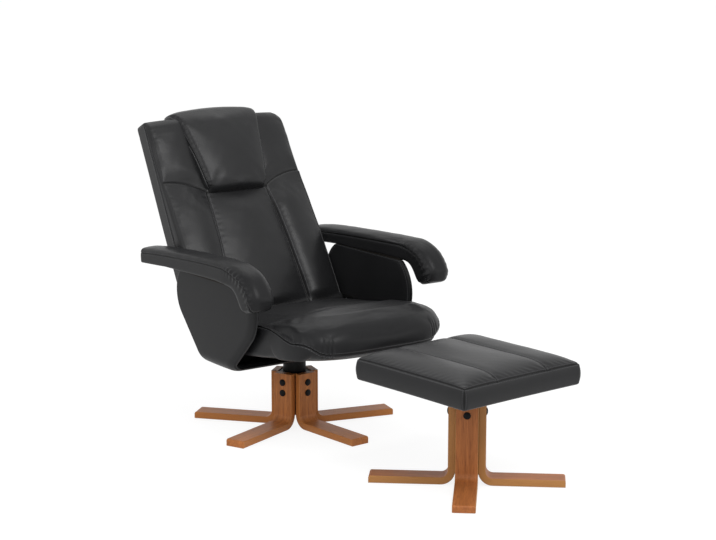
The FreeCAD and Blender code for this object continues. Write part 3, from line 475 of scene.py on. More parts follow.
woodKinds = {
    "chair": dict(
        count=5, centre=(0.0, shift), first=-85.6, turn=360 / 5, inner=0.048, half=0.0326, ply=0.0022,
        dark=(0.245, 0.080, 0.020), light=(0.61, 0.222, 0.061),
        tint=(0.135, 0.042, 0.012), edge=(0.54, 0.208, 0.056), rough=0.38, gloss=0.25),
    # painted shade: the footstool's legs are the chair's wood, their dark, light and tint tones made darker
    "stool": dict(
        count=4, centre=(0.061, shift - stoolAhead), first=-135 + stoolTurn, turn=90, inner=0.034,
        half=0.0326, ply=0.0022, dark=(0.205, 0.062, 0.017), light=(0.50, 0.175, 0.050),
        tint=(0.120, 0.037, 0.011), edge=(0.47, 0.230, 0.072), rough=0.38, gloss=0.25),
}
for kind, wood in woodKinds.items():
    for i in range(wood["count"]):
        legName = "%s_leg_%d" % (kind, i + 1)
        angle = math.radians(wood["first"] + wood["turn"] * i)
        dress(nodes[legName], bentWood(legName + "Wood", angle, wood))

hardKinds = {
    "black_steel": dict(
        name="blackSteel", dark=(0.003, 0.003, 0.003), light=(0.007, 0.007, 0.007),
        rough=0.46, metal=0.0, cloudScale=30, grainScale=900, depth=0.0004),
    "plain_steel": dict(
        name="plainSteel", dark=(0.42, 0.42, 0.43), light=(0.58, 0.58, 0.58),
        rough=0.34, metal=1.0, cloudScale=60, grainScale=1200, depth=0.0002),
    "black_plastic": dict(
        name="blackPlastic", dark=(0.004, 0.004, 0.004), light=(0.009, 0.009, 0.009),
        rough=0.50, metal=0.0, cloudScale=40, grainScale=1100, depth=0.0004),
    "plywood": dict(
        name="stainedBoard", dark=(0.008, 0.007, 0.006), light=(0.018, 0.015, 0.012),
        rough=0.66, metal=0.0, cloudScale=22, grainScale=300, depth=0.0008),
}
hardLooks = {slot: plain(**kind) for slot, kind in hardKinds.items()}
slotOf = {entry["node"]: entry["material_slot"] for entry in frame["record"]["subparts"]}
for nodeName, obj in nodes.items():
    if slotOf[nodeName] in hardLooks:
        dress(obj, hardLooks[slotOf[nodeName]])
print("stage: hard pieces dressed")

# Side shell

shellSpec = dict(
    half=0.297, bottom=0.2470, top=0.545, bend=0.023, thick=0.011, roll=0.007, puff=0.0015,
    front=[(0.194, 0.545), (0.243, 0.470), (0.219, 0.366)],  # (forward, height) on the edge's arc
    frontLow=([0.262, 0.366], [0.114, 0.219]),  # heights and forward places under the arc
    rear=[(-0.182, 0.545), (-0.2345, 0.460), (-0.209, 0.382)],
    rearLow=([0.240, 0.252, 0.269, 0.382], [-0.062, -0.082, -0.104, -0.209]),
    thinFront=0.45, thinReach=0.040,  # the front edge is pulled thin
    hem=0.0125, noSeam=0.05, gloss=0.12, fill=0.95,
)


def shellRange(z):  # rear and front edge at height z: a circle's arc above, straight runs below it
    s = shellSpec
    front = throughThree(z, *s["front"], 1)
    front = np.where(z < s["front"][2][1], np.interp(z, *s["frontLow"]), front)
    rear = throughThree(z, *s["rear"], -1)
    rear = np.where(z < s["rear"][2][1], np.interp(z, *s["rearLow"]), rear)
    return rear, front


def shellProfile():  # down one side, a quarter circle, level to the middle, and the same mirrored
    s = shellSpec
    arc = np.linspace(0, math.pi / 2, 9)
    down = np.linspace(s["top"], s["bottom"] + s["bend"], 46)[:-1]
    xs = np.concatenate([np.full(len(down), s["half"]), s["half"] - s["bend"] * (1 - np.cos(arc))])
    zs = np.concatenate([down, s["bottom"] + s["bend"] * (1 - np.sin(arc))])
    flat = np.linspace(xs[-1], 0, 24)[1:]
    xs, zs = np.concatenate([xs, flat]), np.concatenate([zs, np.full(len(flat), s["bottom"])])
    return np.concatenate([xs, -xs[-2::-1]]), np.concatenate([zs, zs[-2::-1]])


def buildShell():  # the profile carried from rear to front edge, then moved both ways along its normal
    s = shellSpec
    xs, zs = shellProfile()
    dx, dz = np.gradient(xs), np.gradient(zs)
    size = np.hypot(dx, dz)
    outX, outZ = -dz / size, dx / size
    ps = steps([0, 0.03, 0.97, 1], [5, 44, 5])
    local, index, faces = lattice(ps, np.arange(len(xs)), np.linspace(-1, 1, 7))
    share, _, layer = local.T
    q = index[:, 1]
    rear, front = shellRange(zs[q])
    spread = rear + (front - rear) * share
    box = columns(spread, q, layer * s["thick"])
    far = 2 * len(xs)  # past both ends, so nothing is rounded along the profile
    low, high = columns(rear, -far, -s["thick"]), columns(front, far, s["thick"])
    soft = softened(box, low, high, s["roll"], s["roll"])
    middle = 4 * share * (1 - share)
    thin = s["thinFront"] + (1 - s["thinFront"]) * ease((front - spread) / s["thinReach"]) ** 0.5
    off = (soft[:, 2] + np.sign(soft[:, 2]) * s["puff"] * middle) * thin
    points = place(soft[:, 0], xs[q] - outX[q] * off, zs[q] - outZ[q] * off)
    obj = makeMesh("sideShell", points, faces)
    edge = np.minimum(spread - rear, front - spread)
    setFields(obj, hem=np.where(layer > 0, edge, s["noSeam"]), hemAlong=zs[q])
    look = leather("shellLeather", [("hem", "hemAlong", s["hem"])], s["gloss"])
    finishSoft(obj, "seat", look, s["fill"], "side_shell")
    ends = {"Front": len(ps) - 1, "Rear": 0}
    midLayer = index[:, 2] == 3
    return {name: inOrder(points, (index[:, 0] == end) & midLayer, q) for name, end in ends.items()}


shellEdges = buildShell()
print("stage: side shell built")

# Seat cushion

seatSpec = dict(
    half=0.277, length=0.624, thick=0.110, widest=0.2845, crown=0.010, corner=0.092, roll=0.022, nose=0.092,
    sideSeam=0.101, sideFall=0.046, frontSeam=0.016, frontRise=0.039,  # seam heights and their change
    tailUnder=0.1015, tail=0.035,  # the rear end reaches under the back
    creaseAt=0.357, creaseTurn=0.062, creaseWidth=0.011, crease=0.0070, crestWidth=0.052, crest=0.007,
    dimpleAt=(0.176, 0.348), dimpleWidth=0.016, dimple=0.004, sag=0.015, farRaise=0.013,
    groove=0.0042, grooveWidth=0.0028, pleats=(0.189, 0.200, 0.213), pleat=0.0034, pleatWidth=0.0032,
    gather=0.0012, gatherStep=0.013, uneven=0.0007,
    pinWidth=0.008, cap=0.006, stitch=0.0050, noSeam=0.05, gloss=0.14, fill=0.8,
)


def buildSeat():  # tilted box with soft edges, front corners drawn back by a power of the way to the side
    s = seatSpec
    xs = steps([-s["half"], -0.235, -0.178, 0.178, 0.235, s["half"]], [12, 20, 44, 20, 12])
    qs = steps([0, 0.02, 0.33, 0.50, s["length"]], [4, 38, 34, 26])
    box, _, faces = lattice(xs, qs, steps([0, 0.4, 0.5, 0.6, 1], [8, 5, 5, 12]))
    x, along, level = box.T
    aside = np.abs(x)
    atFront = along > s["length"] - tiny
    onSide = (aside > s["half"] - tiny) | atFront
    sideSeam = s["sideSeam"] - s["sideFall"] * ease((along - 0.43) / 0.19)
    frontSeam = s["frontSeam"] + s["frontRise"] * ease((aside - 0.205) / 0.072)
    seamUp = np.where(atFront, frontSeam, sideSeam)
    up = twoRuns(level, seamUp, s["thick"])
    seam = up - seamUp
    front = ease((along - 0.34) / 0.16)
    tip = front * ease((aside - 0.19) / 0.08)
    low, high = columns(-s["half"], 0, 0), columns(s["half"], s["length"], s["thick"])
    radiusLow = columns(s["roll"], 0.016, 0.010 + 0.010 * front + 0.040 * tip)
    radiusHigh = columns(s["roll"], s["nose"], s["roll"] + 0.044 * front)
    soft = softened(columns(x, along, up), low, high, radiusLow, radiusHigh)
    share = np.abs(soft[:, 0]) / s["half"]
    a = soft[:, 1] - s["corner"] * share ** 4.45 * ease((soft[:, 1] - 0.20) / 0.40)
    tail = np.clip(0.7 * (s["tailUnder"] - up), 0, s["tail"])
    tail = tail * (0.3 + 0.7 * ease((s["half"] - aside) / 0.02))
    a = a - tail * ease((0.13 - along) / 0.13)
    creaseAt = s["creaseAt"] + s["creaseTurn"] * ease((-x - 0.02) / 0.19)
    across = ease((0.24 - aside) / 0.06)
    crest = bell(along - creaseAt - 0.062, s["crestWidth"]) * across
    crease = bell(along - creaseAt, s["creaseWidth"]) * across * (0.55 + 0.45 * np.sin(x * 14 + 1.1))
    dimpleX, dimpleAlong = s["dimpleAt"]
    dimple = bell(np.hypot(x - dimpleX, (along - dimpleAlong) * 0.7), s["dimpleWidth"])
    crown = s["crown"] * (1 - share ** 2) * (0.30 + 0.70 * ease(along / 0.11))
    lift = crown + s["crest"] * crest - s["crease"] * crease - s["dimple"] * dimple
    under = 1 - soft[:, 2] / s["thick"]
    sag = s["sag"] * ease((soft[:, 1] - 0.40) / 0.17) * (1 - share ** 2.5) * under
    sag = sag - s["farRaise"] * ease((x - 0.17) / 0.09) * front * under
    obj = makeMesh("seatPad", seatPoint(a, soft[:, 2] + lift * level - sag, soft[:, 0]), faces)
    inflate(obj, s["cap"], bell(seam, s["pinWidth"]) * onSide, level < 0.3, along < 0.012)
    pleat = sum(bell(aside - c, s["pleatWidth"]) for c in s["pleats"])
    pleat = pleat * ease((along - 0.56) / 0.04) * ease((0.080 - up) / 0.04) * ease((up - 0.004) / 0.01)
    turn = ease((along - 0.50) / 0.08) * ease((aside - 0.16) / 0.05)
    gather = waves(along + aside, s["gatherStep"], ripple(along, x, 4)) * bell(seam - 0.010, 0.012) * turn
    amount = -s["groove"] * bell(seam, s["grooveWidth"]) * onSide - s["pleat"] * pleat
    amount = amount + s["gather"] * gather * onSide
    amount = amount + s["uneven"] * ripple(along * 0.8, x * 0.8, 5) * ease((level - 0.6) / 0.4)
    push(obj, amount)
    moved = vectorsOf(obj, "co")
    moved[:, 0] = np.clip(moved[:, 0], -s["widest"], s["widest"])
    setPoints(obj, moved)
    away = np.where(level > 0.5, s["noSeam"], -s["noSeam"])
    setFields(obj, seam=np.where(onSide, seam, away), seamAlong=along + aside)
    look = leather("seatLeather", [("seam", "seamAlong", s["stitch"])], s["gloss"])
    finishSoft(obj, "seat", look, s["fill"], "seat_cushion")


buildSeat()
print("stage: seat built")

# Arm pads

armSpec = dict(
    middle=0.3375, half=0.0445, crown=0.005,
    droop={1: (0.001, -0.002), -1: (0.006, -0.010)},  # the front end's move, left arm and right arm
    rearDrop={1: 0, -1: 0.003},
    line=[(-0.338, 0.5570, 0.046), (-0.236, 0.5650, 0.050), (-0.036, 0.5730, 0.055), (0.100, 0.5775, 0.057),
          (0.170, 0.5795, 0.060), (0.222, 0.5770, 0.071), (0.263, 0.5590, 0.084), (0.291, 0.5290, 0.089),
          (0.305, 0.5020, 0.084), (0.309, 0.4870, 0.080)],  # forward, height, thickness
    floor=([-0.338, -0.176, 0.30], [0.534, 0.5458, 0.5458]),  # underside's forward places and heights
    floorEnd=0.53, gather=0.0024, gatherStep=0.0185, outerGather=0.35, groove=0.0028, bendGroove=0.0030,
    grooveWidth=0.0030, uneven=0.0006, pinWidth=0.005, cap=0.004,
    stitch=0.0045, noSeam=0.03, gloss=0.14, thread=0.030, fill=0.9,
)


def buildArm(name, sign, *replaced):  # soft-edged bar carried along a curved line, square to its slope
    s = armSpec

    def rearDrop(forward):  # the near arm's rear end lies a little lower
        return s["rearDrop"][sign] * ease((-0.05 - forward) / 0.15)

    bar = np.array(s["line"])
    bar[:, :2] += np.array(s["droop"][sign]) * ease((bar[:, :1] - 0.10) / 0.20)
    bar[:, 1] -= rearDrop(bar[:, 0])
    reach, line = curve(bar, 400)
    length = reach[-1]
    tangent = unit(np.gradient(line[:, :2], axis=0))
    xs = steps([-s["half"], -0.024, 0.024, s["half"]], [9, 12, 9])
    qs = steps([0, 0.012, 0.46, length - 0.05, length], [4, 50, 62, 16])
    box, _, faces = lattice(xs, qs, steps([-1, -0.25, 0, 0.3, 1], [6, 4, 4, 8]))
    x, along, level = box.T
    thick = np.interp(along, reach, line[:, 2])
    bend = ease((along - 0.50) / 0.09)  # 1 on the drooping front end
    seamUp = thick / 2 - 0.014 - 0.013 * bend
    up = np.where(level < 0, seamUp + (seamUp + thick / 2) * level, seamUp + (thick / 2 - seamUp) * level)
    seam = up - seamUp
    low, high = columns(-s["half"], 0, -thick / 2), columns(s["half"], length, thick / 2)
    lowRoll = 0.005 + 0.012 * bend
    sideRoll = np.where(level > 0, 0.013 + 0.019 * bend, lowRoll)
    radiusLow = columns(sideRoll, 0.007, lowRoll)
    radiusHigh = columns(sideRoll, 0.034, 0.013 + 0.013 * bend)
    soft = softened(columns(x, along, up), low, high, radiusLow, radiusHigh)
    swell = 0.09 * bend * bell(seam - 0.013, 0.014) * (level > 0) - 0.05 * bend * ease(-level / 0.2)
    side = soft[:, 0] * (1 + swell)
    h = soft[:, 2] + s["crown"] * (1 - (soft[:, 0] / s["half"]) ** 2) * ease(level)
    baseForward, baseHeight = [np.interp(soft[:, 1], reach, line[:, i]) for i in range(2)]
    slopeForward, slopeHeight = [np.interp(soft[:, 1], reach, tangent[:, i]) for i in range(2)]
    forward, height = baseForward - slopeHeight * h, baseHeight + slopeForward * h
    floor = np.interp(forward, *s["floor"]) - rearDrop(forward)
    height = np.where(along < s["floorEnd"], np.maximum(height, floor), height)
    obj = makeMesh(name, place(forward, sign * (s["middle"] + side), height), faces)
    onSide = (np.abs(x) > s["half"] - tiny) | (along > length - tiny)
    inflate(obj, s["cap"], level < 0, bell(seam, s["pinWidth"]) * onSide, along < 0.01)
    pull = waves(along, s["gatherStep"], 3 * ripple(along * 0.5, x, 9)) * bend * onSide
    pull = pull * (0.7 + 0.5 * ripple(along * 0.6, x, 10)) * np.where(x * sign < 0, 1.0, s["outerGather"])
    gathers = pull * (bell(seam - 0.010, 0.012) + 0.6 * bell(seam + 0.007, 0.008))
    groove = bell(seam, s["grooveWidth"]) * onSide * (s["groove"] + s["bendGroove"] * bend)
    uneven = s["uneven"] * ripple(along * 1.3, x * 2, 11 + int(sign)) * (level > 0)
    push(obj, s["gather"] * gathers - groove + uneven)
    away = np.where(level > 0, s["noSeam"], -s["noSeam"])
    setFields(obj, seam=np.where(onSide, seam, away), seamAlong=along)
    look = leather(name + "Leather", [("seam", "seamAlong", s["stitch"])], s["gloss"], s["thread"])
    finishSoft(obj, "seat", look, s["fill"], *replaced)


buildArm("armPadLeft", 1, "arm_pad_left")
buildArm("armPadRight", -1, "arm_pad_right")
print("stage: arms built")

# Back cushion

backSpec = dict(
    low=-0.012, top=0.709, lowHalf=0.2790, topHalf=0.2695, boxing=0.054, roll=0.011, rearRoll=0.006,
    hingeRoll=0.0185,  # the low edge is rolled round the hinge line
    front=[(-0.012, 0.013), (0.1, 0.0105), (0.25, 0.001), (0.38, -0.014),
           (0.478, -0.026), (0.57, -0.031), (0.65, -0.030), (0.706, -0.034)],  # up and out
    rear=[(-0.012, -0.0850), (0.18, -0.0945), (0.36, -0.0990), (0.54, -0.1020), (0.706, -0.1055)],
    seamHalf=0.144, seamNarrow=0.026, seamLength=0.425, seamEnd=0.44,
    wingFrom=0.112, wingSpan=0.150, wingSeam=0.428, wingRise=0.050,
    centrePuff=0.022, wingPuff=0.022, upperPuff=0.016, cornerFall=0.006, farCornerFall=0.014,
    groove=0.0036, grooveWidth=0.0026, pucker=0.0005, puckerStep=0.021, crimp=0.0019, uneven=0.0006,
    edgePucker=0.0003, edgePuckerStep=0.031, rearSeam=0.0015, rearSeamWidth=0.003,
    pinWidth=0.005, borderPin=0.006, cap=0.005, stitch=0.0065, borderStitch=0.0060,
    noSeam=0.05, noLong=0.03, noCross=0.03, pipeTop=0.690, farPipeTop=0.476, fill=0.8,
)


def seamHalf(up):  # half distance between the two long seams, which narrow evenly upwards
    s = backSpec
    return s["seamHalf"] - s["seamNarrow"] * up / s["seamLength"]


def wingSeam(aside):  # height of the seam across each wing: a rise that flattens towards the side
    s = backSpec
    t = np.clip((aside - s["wingFrom"]) / s["wingSpan"], 0, 1)
    return s["wingSeam"] + s["wingRise"] * (1 - (1 - t) ** 2.1)


def buildBack():  # soft-edged box from the rear line to the front line, with its panels puffed between seams
    s = backSpec
    ps = steps([-1, -0.93, -0.57, -0.5, -0.43, 0.43, 0.5, 0.57, 0.93, 1], [7, 20, 6, 6, 30, 6, 6, 20, 7])
    us = steps([s["low"], 0.01, 0.405, 0.49, 0.61, s["top"]], [4, 58, 34, 16, 22])
    box, index, faces = lattice(ps, us, steps([0, 0.12, 0.43, 0.5, 0.57, 1], [3, 5, 3, 3, 10]))
    p, up, row = box.T
    frontOut = np.interp(up, *np.array(s["front"]).T)
    rearOut = np.interp(up, *np.array(s["rear"]).T)
    deep = frontOut - rearOut
    level = twoRuns(row, s["boxing"], deep) / deep
    half = s["lowHalf"] + (s["topHalf"] - s["lowHalf"]) * up / s["top"]
    seamX = seamHalf(up)
    aside = twoRuns(np.abs(p), seamX, half)
    x = np.sign(p) * aside
    low, high = columns(-half, s["low"], rearOut), columns(half, s["top"], frontOut)
    crest = ease((up - 0.60) / 0.08)
    edge = np.where(row > 0.5, s["roll"], s["rearRoll"])
    radiusLow = columns(edge, 0.018, s["rearRoll"])
    radiusHigh = columns(edge, 0.012 + 0.026 * ease((row - 0.4) / 0.3), s["roll"] + 0.022 * crest)
    soft = softened(columns(x, up, rearOut + deep * level), low, high, radiusLow, radiusHigh)
    fall = s["cornerFall"] * (np.abs(soft[:, 0]) / half) ** 4
    soft[:, 1] -= crest * (fall + s["farCornerFall"] * ease((x - 0.235) / 0.034))
    seamUp = wingSeam(aside)
    centre = s["centrePuff"] * (1 - np.clip(aside / seamX, 0, 1) ** 1.7) * ease((0.44 - up) / 0.10)
    wing = np.sin(math.pi * np.clip(np.abs(p) * 2 - 1, 0, 1) ** 0.62)
    lower = s["wingPuff"] * ease((seamUp - up) / 0.11)
    upper = s["upperPuff"] * ease((up - seamUp) / 0.06)
    puff = centre + wing * np.where(up < seamUp, lower, upper)
    soft[:, 2] += puff * ease((up - s["low"]) / 0.05) * ease((row - 0.8) / 0.2)
    reach = np.hypot(soft[:, 1], soft[:, 2])
    soft[:, 1:] *= (np.maximum(reach, s["hingeRoll"]) / reach)[:, None]
    obj = makeMesh("backPad", backPoint(soft[:, 1], soft[:, 2], soft[:, 0]), faces)
    onFront = row > 0.999
    onWing = aside > 0.1
    long = np.where(up < s["seamEnd"], aside - seamX, s["noLong"])
    inward = np.where(up < 0.43, -s["noCross"], s["noCross"])
    cross = np.where(aside > 0.108, up - seamUp, inward)
    border = np.where(np.abs(p) > 0.999, level * deep - s["boxing"], s["noSeam"] * np.sign(row - 0.5))
    heldLong = bell(long, s["pinWidth"]) * onFront
    heldCross = bell(cross, s["pinWidth"]) * onWing * onFront
    lowEdge = ease((0.03 - up) / 0.02)
    behindHead = ease((up - 0.385) / 0.03) * ease((0.135 - aside) / 0.02)
    inflate(obj, s["cap"], heldLong, heldCross, bell(border, s["borderPin"]), row < 0.45, lowEdge, behindHead)
    inset = half - aside - 0.020
    pucker = waves(up, s["puckerStep"], 3 * ripple(up, x, 20)) * bell(np.abs(long) - 0.012, 0.012)
    crimp = ripple(aside * 1.8, up * 1.3, 23) * bell(aside - 0.19, 0.05) * bell(up - seamUp + 0.06, 0.05)
    edgePucker = waves(up, s["edgePuckerStep"], 5 * ripple(up, x, 27)) * bell(inset, 0.012)
    amount = -s["groove"] * bell(long, s["grooveWidth"])
    amount = amount - s["groove"] * bell(cross, s["grooveWidth"]) * onWing
    amount = amount + s["pucker"] * pucker + s["crimp"] * crimp
    amount = amount + s["uneven"] * ripple(aside * 0.8, up * 0.8, 25) + s["edgePucker"] * edgePucker
    rearSeam = sum(bell(distance, s["rearSeamWidth"]) for distance in (inset, up - 0.03, up - 0.675))
    push(obj, amount * onFront - s["rearSeam"] * rearSeam * (row < 0.001))
    setFields(obj, long=np.where(onFront, long, s["noSeam"]), cross=np.where(onFront, cross, s["noSeam"]),
              border=border, upward=up, aside=aside)
    seams = [("long", "upward", s["stitch"]), ("cross", "aside", 0), ("border", "upward", s["borderStitch"])]
    finishSoft(obj, "back", leather("backLeather", seams), s["fill"], "back_cushion", "back_cover")
    points, number = vectorsOf(obj, "co"), index[:, 1]
    near = (index[:, 0] == 0) & (np.abs(row - 0.5) < tiny) & (up > 0) & (up < s["pipeTop"])
    far = (index[:, 0] == len(ps) - 2) & onFront & (up > 0) & (up < s["farPipeTop"])  # at the front edge
    return {"Right": inOrder(points, near, number), "Left": inOrder(points, far, number)}


backEdges = buildBack()
print("stage: back built")

# Headrest pillow

headSpec = dict(
    low=0.421, top=0.735, rear=-0.098, front=0.006, lowHalf=0.118, topHalf=0.170, crown=0.019, tilt=-0.010,
    lowRoll=0.048, topRoll=0.074, rearRoll=0.006, cornerFall=0.012, crestRise=0.008,
    groove=0.0030, grooveWidth=0.0028, pucker=0.0006, puckerStep=0.019, uneven=0.0006,
    pinWidth=0.006, cap=0.006, stitch=0.0050, fill=0.85,
)


def buildHead():  # soft-edged wedge, wider upwards, its dome falling off by a power of the way to the side
    s = headSpec
    xs = steps([-1, -0.90, 0.90, 1], [9, 50, 9])
    us = steps([s["low"], 0.455, 0.62, s["top"]], [12, 36, 30])
    box, _, faces = lattice(xs, us, steps([0, 0.55, 1], [5, 16]))
    p, up, level = box.T
    deep = s["front"] - s["rear"]
    half = s["lowHalf"] + (s["topHalf"] - s["lowHalf"]) * (up - s["low"]) / (s["top"] - s["low"])
    x = p * half
    low, high = columns(-half, s["low"], s["rear"]), columns(half, s["top"], s["front"])
    crest = ease((up - 0.54) / 0.12)
    edge = 0.008 + 0.012 * ease((level - 0.5) / 0.4)
    radiusLow = columns(edge, s["lowRoll"], s["rearRoll"])
    radiusHigh = columns(edge, s["topRoll"], 0.042 + 0.030 * crest)
    soft = softened(columns(x, up, s["rear"] + deep * level), low, high, radiusLow, radiusHigh)
    soft[:, 1] -= s["cornerFall"] * crest * np.abs(p) ** 6
    dome = (1 - np.abs(p) ** 2.2) * ease((level - 0.3) / 0.7)
    out = soft[:, 2] + s["crown"] * dome * (1 - 0.55 * crest) + s["tilt"] * ease((up - 0.5) / 0.25)
    points = backPoint(soft[:, 1] + s["crestRise"] * dome * crest, out, soft[:, 0])
    obj = makeMesh("headPillow", points, faces)
    gusset = np.where(np.abs(p) > 1 - tiny, (level - 1) * deep, half - np.abs(x))
    frontPart = level > 0.4
    lowEdge = ease((s["low"] + 0.02 - up) / 0.02)
    inflate(obj, s["cap"], bell(gusset, s["pinWidth"]) * frontPart, level < 0.3, lowEdge)
    pucker = waves(up, s["puckerStep"], 2 * ripple(up, x, 30)) * bell(gusset - 0.009, 0.009)
    amount = -s["groove"] * bell(gusset, s["grooveWidth"]) * frontPart + s["pucker"] * pucker
    push(obj, amount + s["uneven"] * ripple(np.abs(x) * 0.7, up * 0.8, 31))
    setFields(obj, seam=gusset, upward=up)
    look = leather("headLeather", [("seam", "upward", s["stitch"])])
    finishSoft(obj, "back", look, s["fill"], "headrest_pad")


buildHead()
print("stage: headrest built")

# Footstool cushion

stoolSpec = dict(
    half=0.2340, low=0.3090, seam=0.3755, crown=0.026, middle=(0.0595, shift - stoolAhead),
    turn=math.radians(stoolTurn), roll=0.010, lowRoll=0.007, topRoll=0.005, belly=0.0055, pullIn=0.012,
    panelAt=0.100, panelDip=0.0042, panelDipWidth=0.013, panelGroove=0.0024, postGroove=0.0016,
    groove=0.0032, grooveWidth=0.0030, thinGroove=0.0028, crimp=0.0006, crimpStep=0.024, uneven=0.0006,
    pinWidth=0.006, panelPin=0.005, cap=0.005,
    stitch=0.0050, postStitch=0.0045, noSeam=0.05, gloss=0.21, thread=0.045, fill=0.9,
)


def buildStool():  # turned square box, sides drawn in by a square law, top domed by eighth powers
    s = stoolSpec
    stops = [-s["half"], -0.214, -0.116, -0.084, 0.084, 0.116, 0.214, s["half"]]
    xs = steps(stops, [8, 16, 11, 26, 11, 16, 8])
    ys = steps([-s["half"], -0.214, 0.214, s["half"]], [8, 66, 8])
    zs = steps([s["low"], s["low"] + 0.01, s["seam"] - 0.012, s["seam"]], [4, 9, 7])
    box, _, faces = lattice(xs, ys, zs)
    x, y, z = box.T
    low, high = columns(-s["half"], -s["half"], s["low"]), columns(s["half"], s["half"], s["seam"])
    radiusLow, radiusHigh = [columns(s["roll"], s["roll"], s[kind]) for kind in ("lowRoll", "topRoll")]
    soft = softened(box, low, high, radiusLow, radiusHigh)
    fx, fy = soft[:, 0] / s["half"], soft[:, 1] / s["half"]
    insetX, insetY = s["half"] - np.abs(x), s["half"] - np.abs(y)
    onTop = z > s["seam"] - tiny
    dome = (1 - np.abs(fx) ** 8) * (1 - np.abs(fy) ** 8)
    panel = np.abs(x) - s["panelAt"]
    belly = s["belly"] * np.sin(math.pi * np.clip((z - s["low"]) / (s["seam"] - s["low"]), 0, 1))
    px = soft[:, 0] * (1 - s["pullIn"] * (1 - fy ** 2)) + np.sign(x) * belly * (insetX < tiny)
    py = soft[:, 1] * (1 - s["pullIn"] * (1 - fx ** 2)) + np.sign(y) * belly * (insetY < tiny)
    dip = s["panelDip"] * bell(panel, s["panelDipWidth"]) * dome ** 0.4
    pz = soft[:, 2] + (s["crown"] * dome - dip) * onTop
    cosine, sine = math.cos(s["turn"]), math.sin(s["turn"])
    middleX, middleY = s["middle"]
    points = columns(middleX + px * cosine - py * sine, middleY + px * sine + py * cosine, pz)
    obj = makeMesh("stoolPad", points, faces)
    welt = np.where(onTop, np.minimum(insetX, insetY), z - s["seam"])
    heldPanel = bell(panel, s["panelPin"]) * onTop
    inflate(obj, s["cap"], bell(welt, s["pinWidth"]), heldPanel, z < s["low"] + 0.006)
    post = np.maximum(insetX, insetY)  # distance from the upright corner seams
    crimp = waves(x + y, s["crimpStep"], 2 * ripple(x, y, 42)) * bell(welt - 0.014, 0.012) * onTop
    amount = -s["groove"] * bell(welt, s["grooveWidth"])
    amount = amount - s["panelGroove"] * bell(panel, s["thinGroove"]) * onTop
    amount = amount - s["postGroove"] * bell(post, s["thinGroove"]) * (~onTop)
    push(obj, amount + s["crimp"] * crimp + s["uneven"] * ripple(x * 0.6, y * 0.6, 41) * onTop)
    setFields(obj, welt=welt, panel=np.where(onTop, panel, s["noSeam"]),
              post=np.where(onTop, s["noSeam"], post), run=x + y, rise=z)
    seams = [("welt", "run", s["stitch"]), ("panel", "run", s["stitch"]), ("post", "rise", s["postStitch"])]
    look = leather("stoolLeather", seams, s["gloss"], s["thread"])
    finishSoft(obj, "footstool", look, s["fill"], "stool_cushion")


buildStool()
print("stage: footstool built")

# Piping along the shell and the back

pipingSpec = dict(shellRadius=0.0026, backRadius=0.0028)
pipingLook = leather("pipingLeather", [])
for name, line in shellEdges.items():
    pipe = tube("shellPiping" + name, line[1:-1], pipingSpec["shellRadius"])
    finishSoft(pipe, "seat", pipingLook, None)
for name, line in backEdges.items():
    pipe = tube("backPiping" + name, line, pipingSpec["backRadius"])
    finishSoft(pipe, "back", pipingLook, None)
print("stage: piping built")

# Floor, light and camera

studioSpec = dict(
    floorHalf=40, floorTone=0.80, floorRough=0.9, glow=0.87, veil=0.21, ambient=0.66, backdrop=1.0)
lightSpec = {
    "keyLight": dict(spot=(-0.4, -2.8, 3.4), aim=(0, 0, 0.5), size=(1.8, 1.7), power=78),
    "fillLight": dict(spot=(2.6, -3.8, 1.6), aim=(0, -0.3, 0.4), size=(1.7, 1.2), power=14),
    "sideLight": dict(spot=(-3.3, -0.9, 2.0), aim=(0, 0, 0.4), size=(1.6, 1.5), power=24),
    "topLight": dict(spot=(0.4, 1.2, 3.4), aim=(0, 0, 0.4), size=(2.4, 1.6), power=18),
}
cameraSpec = dict(
    spot=(-3.4025, -4.8824, 1.7624), level=(0.5787, 0.8155), pitch=math.radians(-11.406), lens=97.09, sensor=36)


def whiteToEye(graph, plainShader, whiteShader, out):  # white to the camera, in gloss and through clear things
    ray = graph.node("ShaderNodeLightPath", {}, {}, "Is Camera Ray")
    seen = ray.maths("MAXIMUM", ray.other("Is Glossy Ray"))
    seen = seen.maths("MAXIMUM", ray.other("Is Transmission Ray"))
    chosen = graph.node("ShaderNodeMixShader", {}, {0: seen, 1: plainShader, 2: whiteShader})
    graph.fill(graph.tree.nodes[out].inputs[0], chosen)


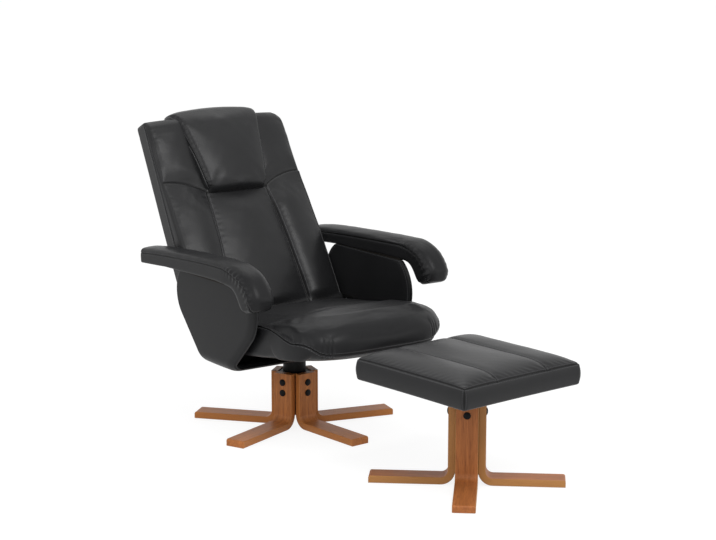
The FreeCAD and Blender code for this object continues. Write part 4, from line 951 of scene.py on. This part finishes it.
def setUp(name, data, spot, heading):  # stands at the spot and looks along the heading
    obj = bpy.data.objects.new(name, data)
    obj.location = spot
    obj.rotation_euler = Vector(heading).to_track_quat("-Z", "Y").to_euler()
    bpy.context.scene.collection.objects.link(obj)
    return obj


def grey(tone):
    return (tone, tone, tone, 1)


wide = studioSpec["floorHalf"]
corners = np.array([[-wide, -wide, 0], [wide, -wide, 0], [wide, wide, 0], [-wide, wide, 0]], float)
floorMesh = makeMesh("floor", corners, np.array([[0, 1, 2, 3]]))
floorLook = Look("paleFloor")
floorLook.put("Base Color", grey(studioSpec["floorTone"]))
floorLook.put("Roughness", studioSpec["floorRough"])
floorLook.put("Specular IOR Level", 0.0)
glow = floorLook.node("ShaderNodeEmission", {}, {"Strength": studioSpec["glow"]})
veil = floorLook.node("ShaderNodeBsdfDiffuse", {}, {"Color": grey(studioSpec["veil"])})  # keeps the shadow
paleFloor = floorLook.node("ShaderNodeAddShader", {}, {0: veil, 1: glow})
whiteToEye(floorLook, Wire(floorLook, floorLook.shader.outputs[0]), paleFloor, "Material Output")
floorMesh.data.materials.append(floorLook.material)

for name, s in lightSpec.items():
    lamp = bpy.data.lights.new(name, "AREA")
    lamp.shape = "RECTANGLE"
    lamp.size, lamp.size_y = s["size"]
    lamp.energy = s["power"]
    setUp(name, lamp, s["spot"], np.array(s["aim"], float) - np.array(s["spot"], float))

world = bpy.data.worlds.new("studio")
bpy.context.scene.world = world
world.use_nodes = True
studio = Graph(world.node_tree)
ambient, backdrop = [
    studio.node("ShaderNodeBackground", {}, {"Color": grey(1), "Strength": studioSpec[kind]})
    for kind in ("ambient", "backdrop")]
whiteToEye(studio, ambient, backdrop, "World Output")

cameraData = bpy.data.cameras.new("photoCamera")
cameraData.sensor_width = cameraSpec["sensor"]
cameraData.lens = cameraSpec["lens"]
levelX, levelY = cameraSpec["level"]
flat, sunk = math.cos(cameraSpec["pitch"]), math.sin(cameraSpec["pitch"])
heading = (levelX * flat, levelY * flat, sunk)
bpy.context.scene.camera = setUp("photoCamera", cameraData, cameraSpec["spot"], heading)
bpy.context.scene.view_settings.view_transform = "Standard"
print("stage: floor, light and camera set")
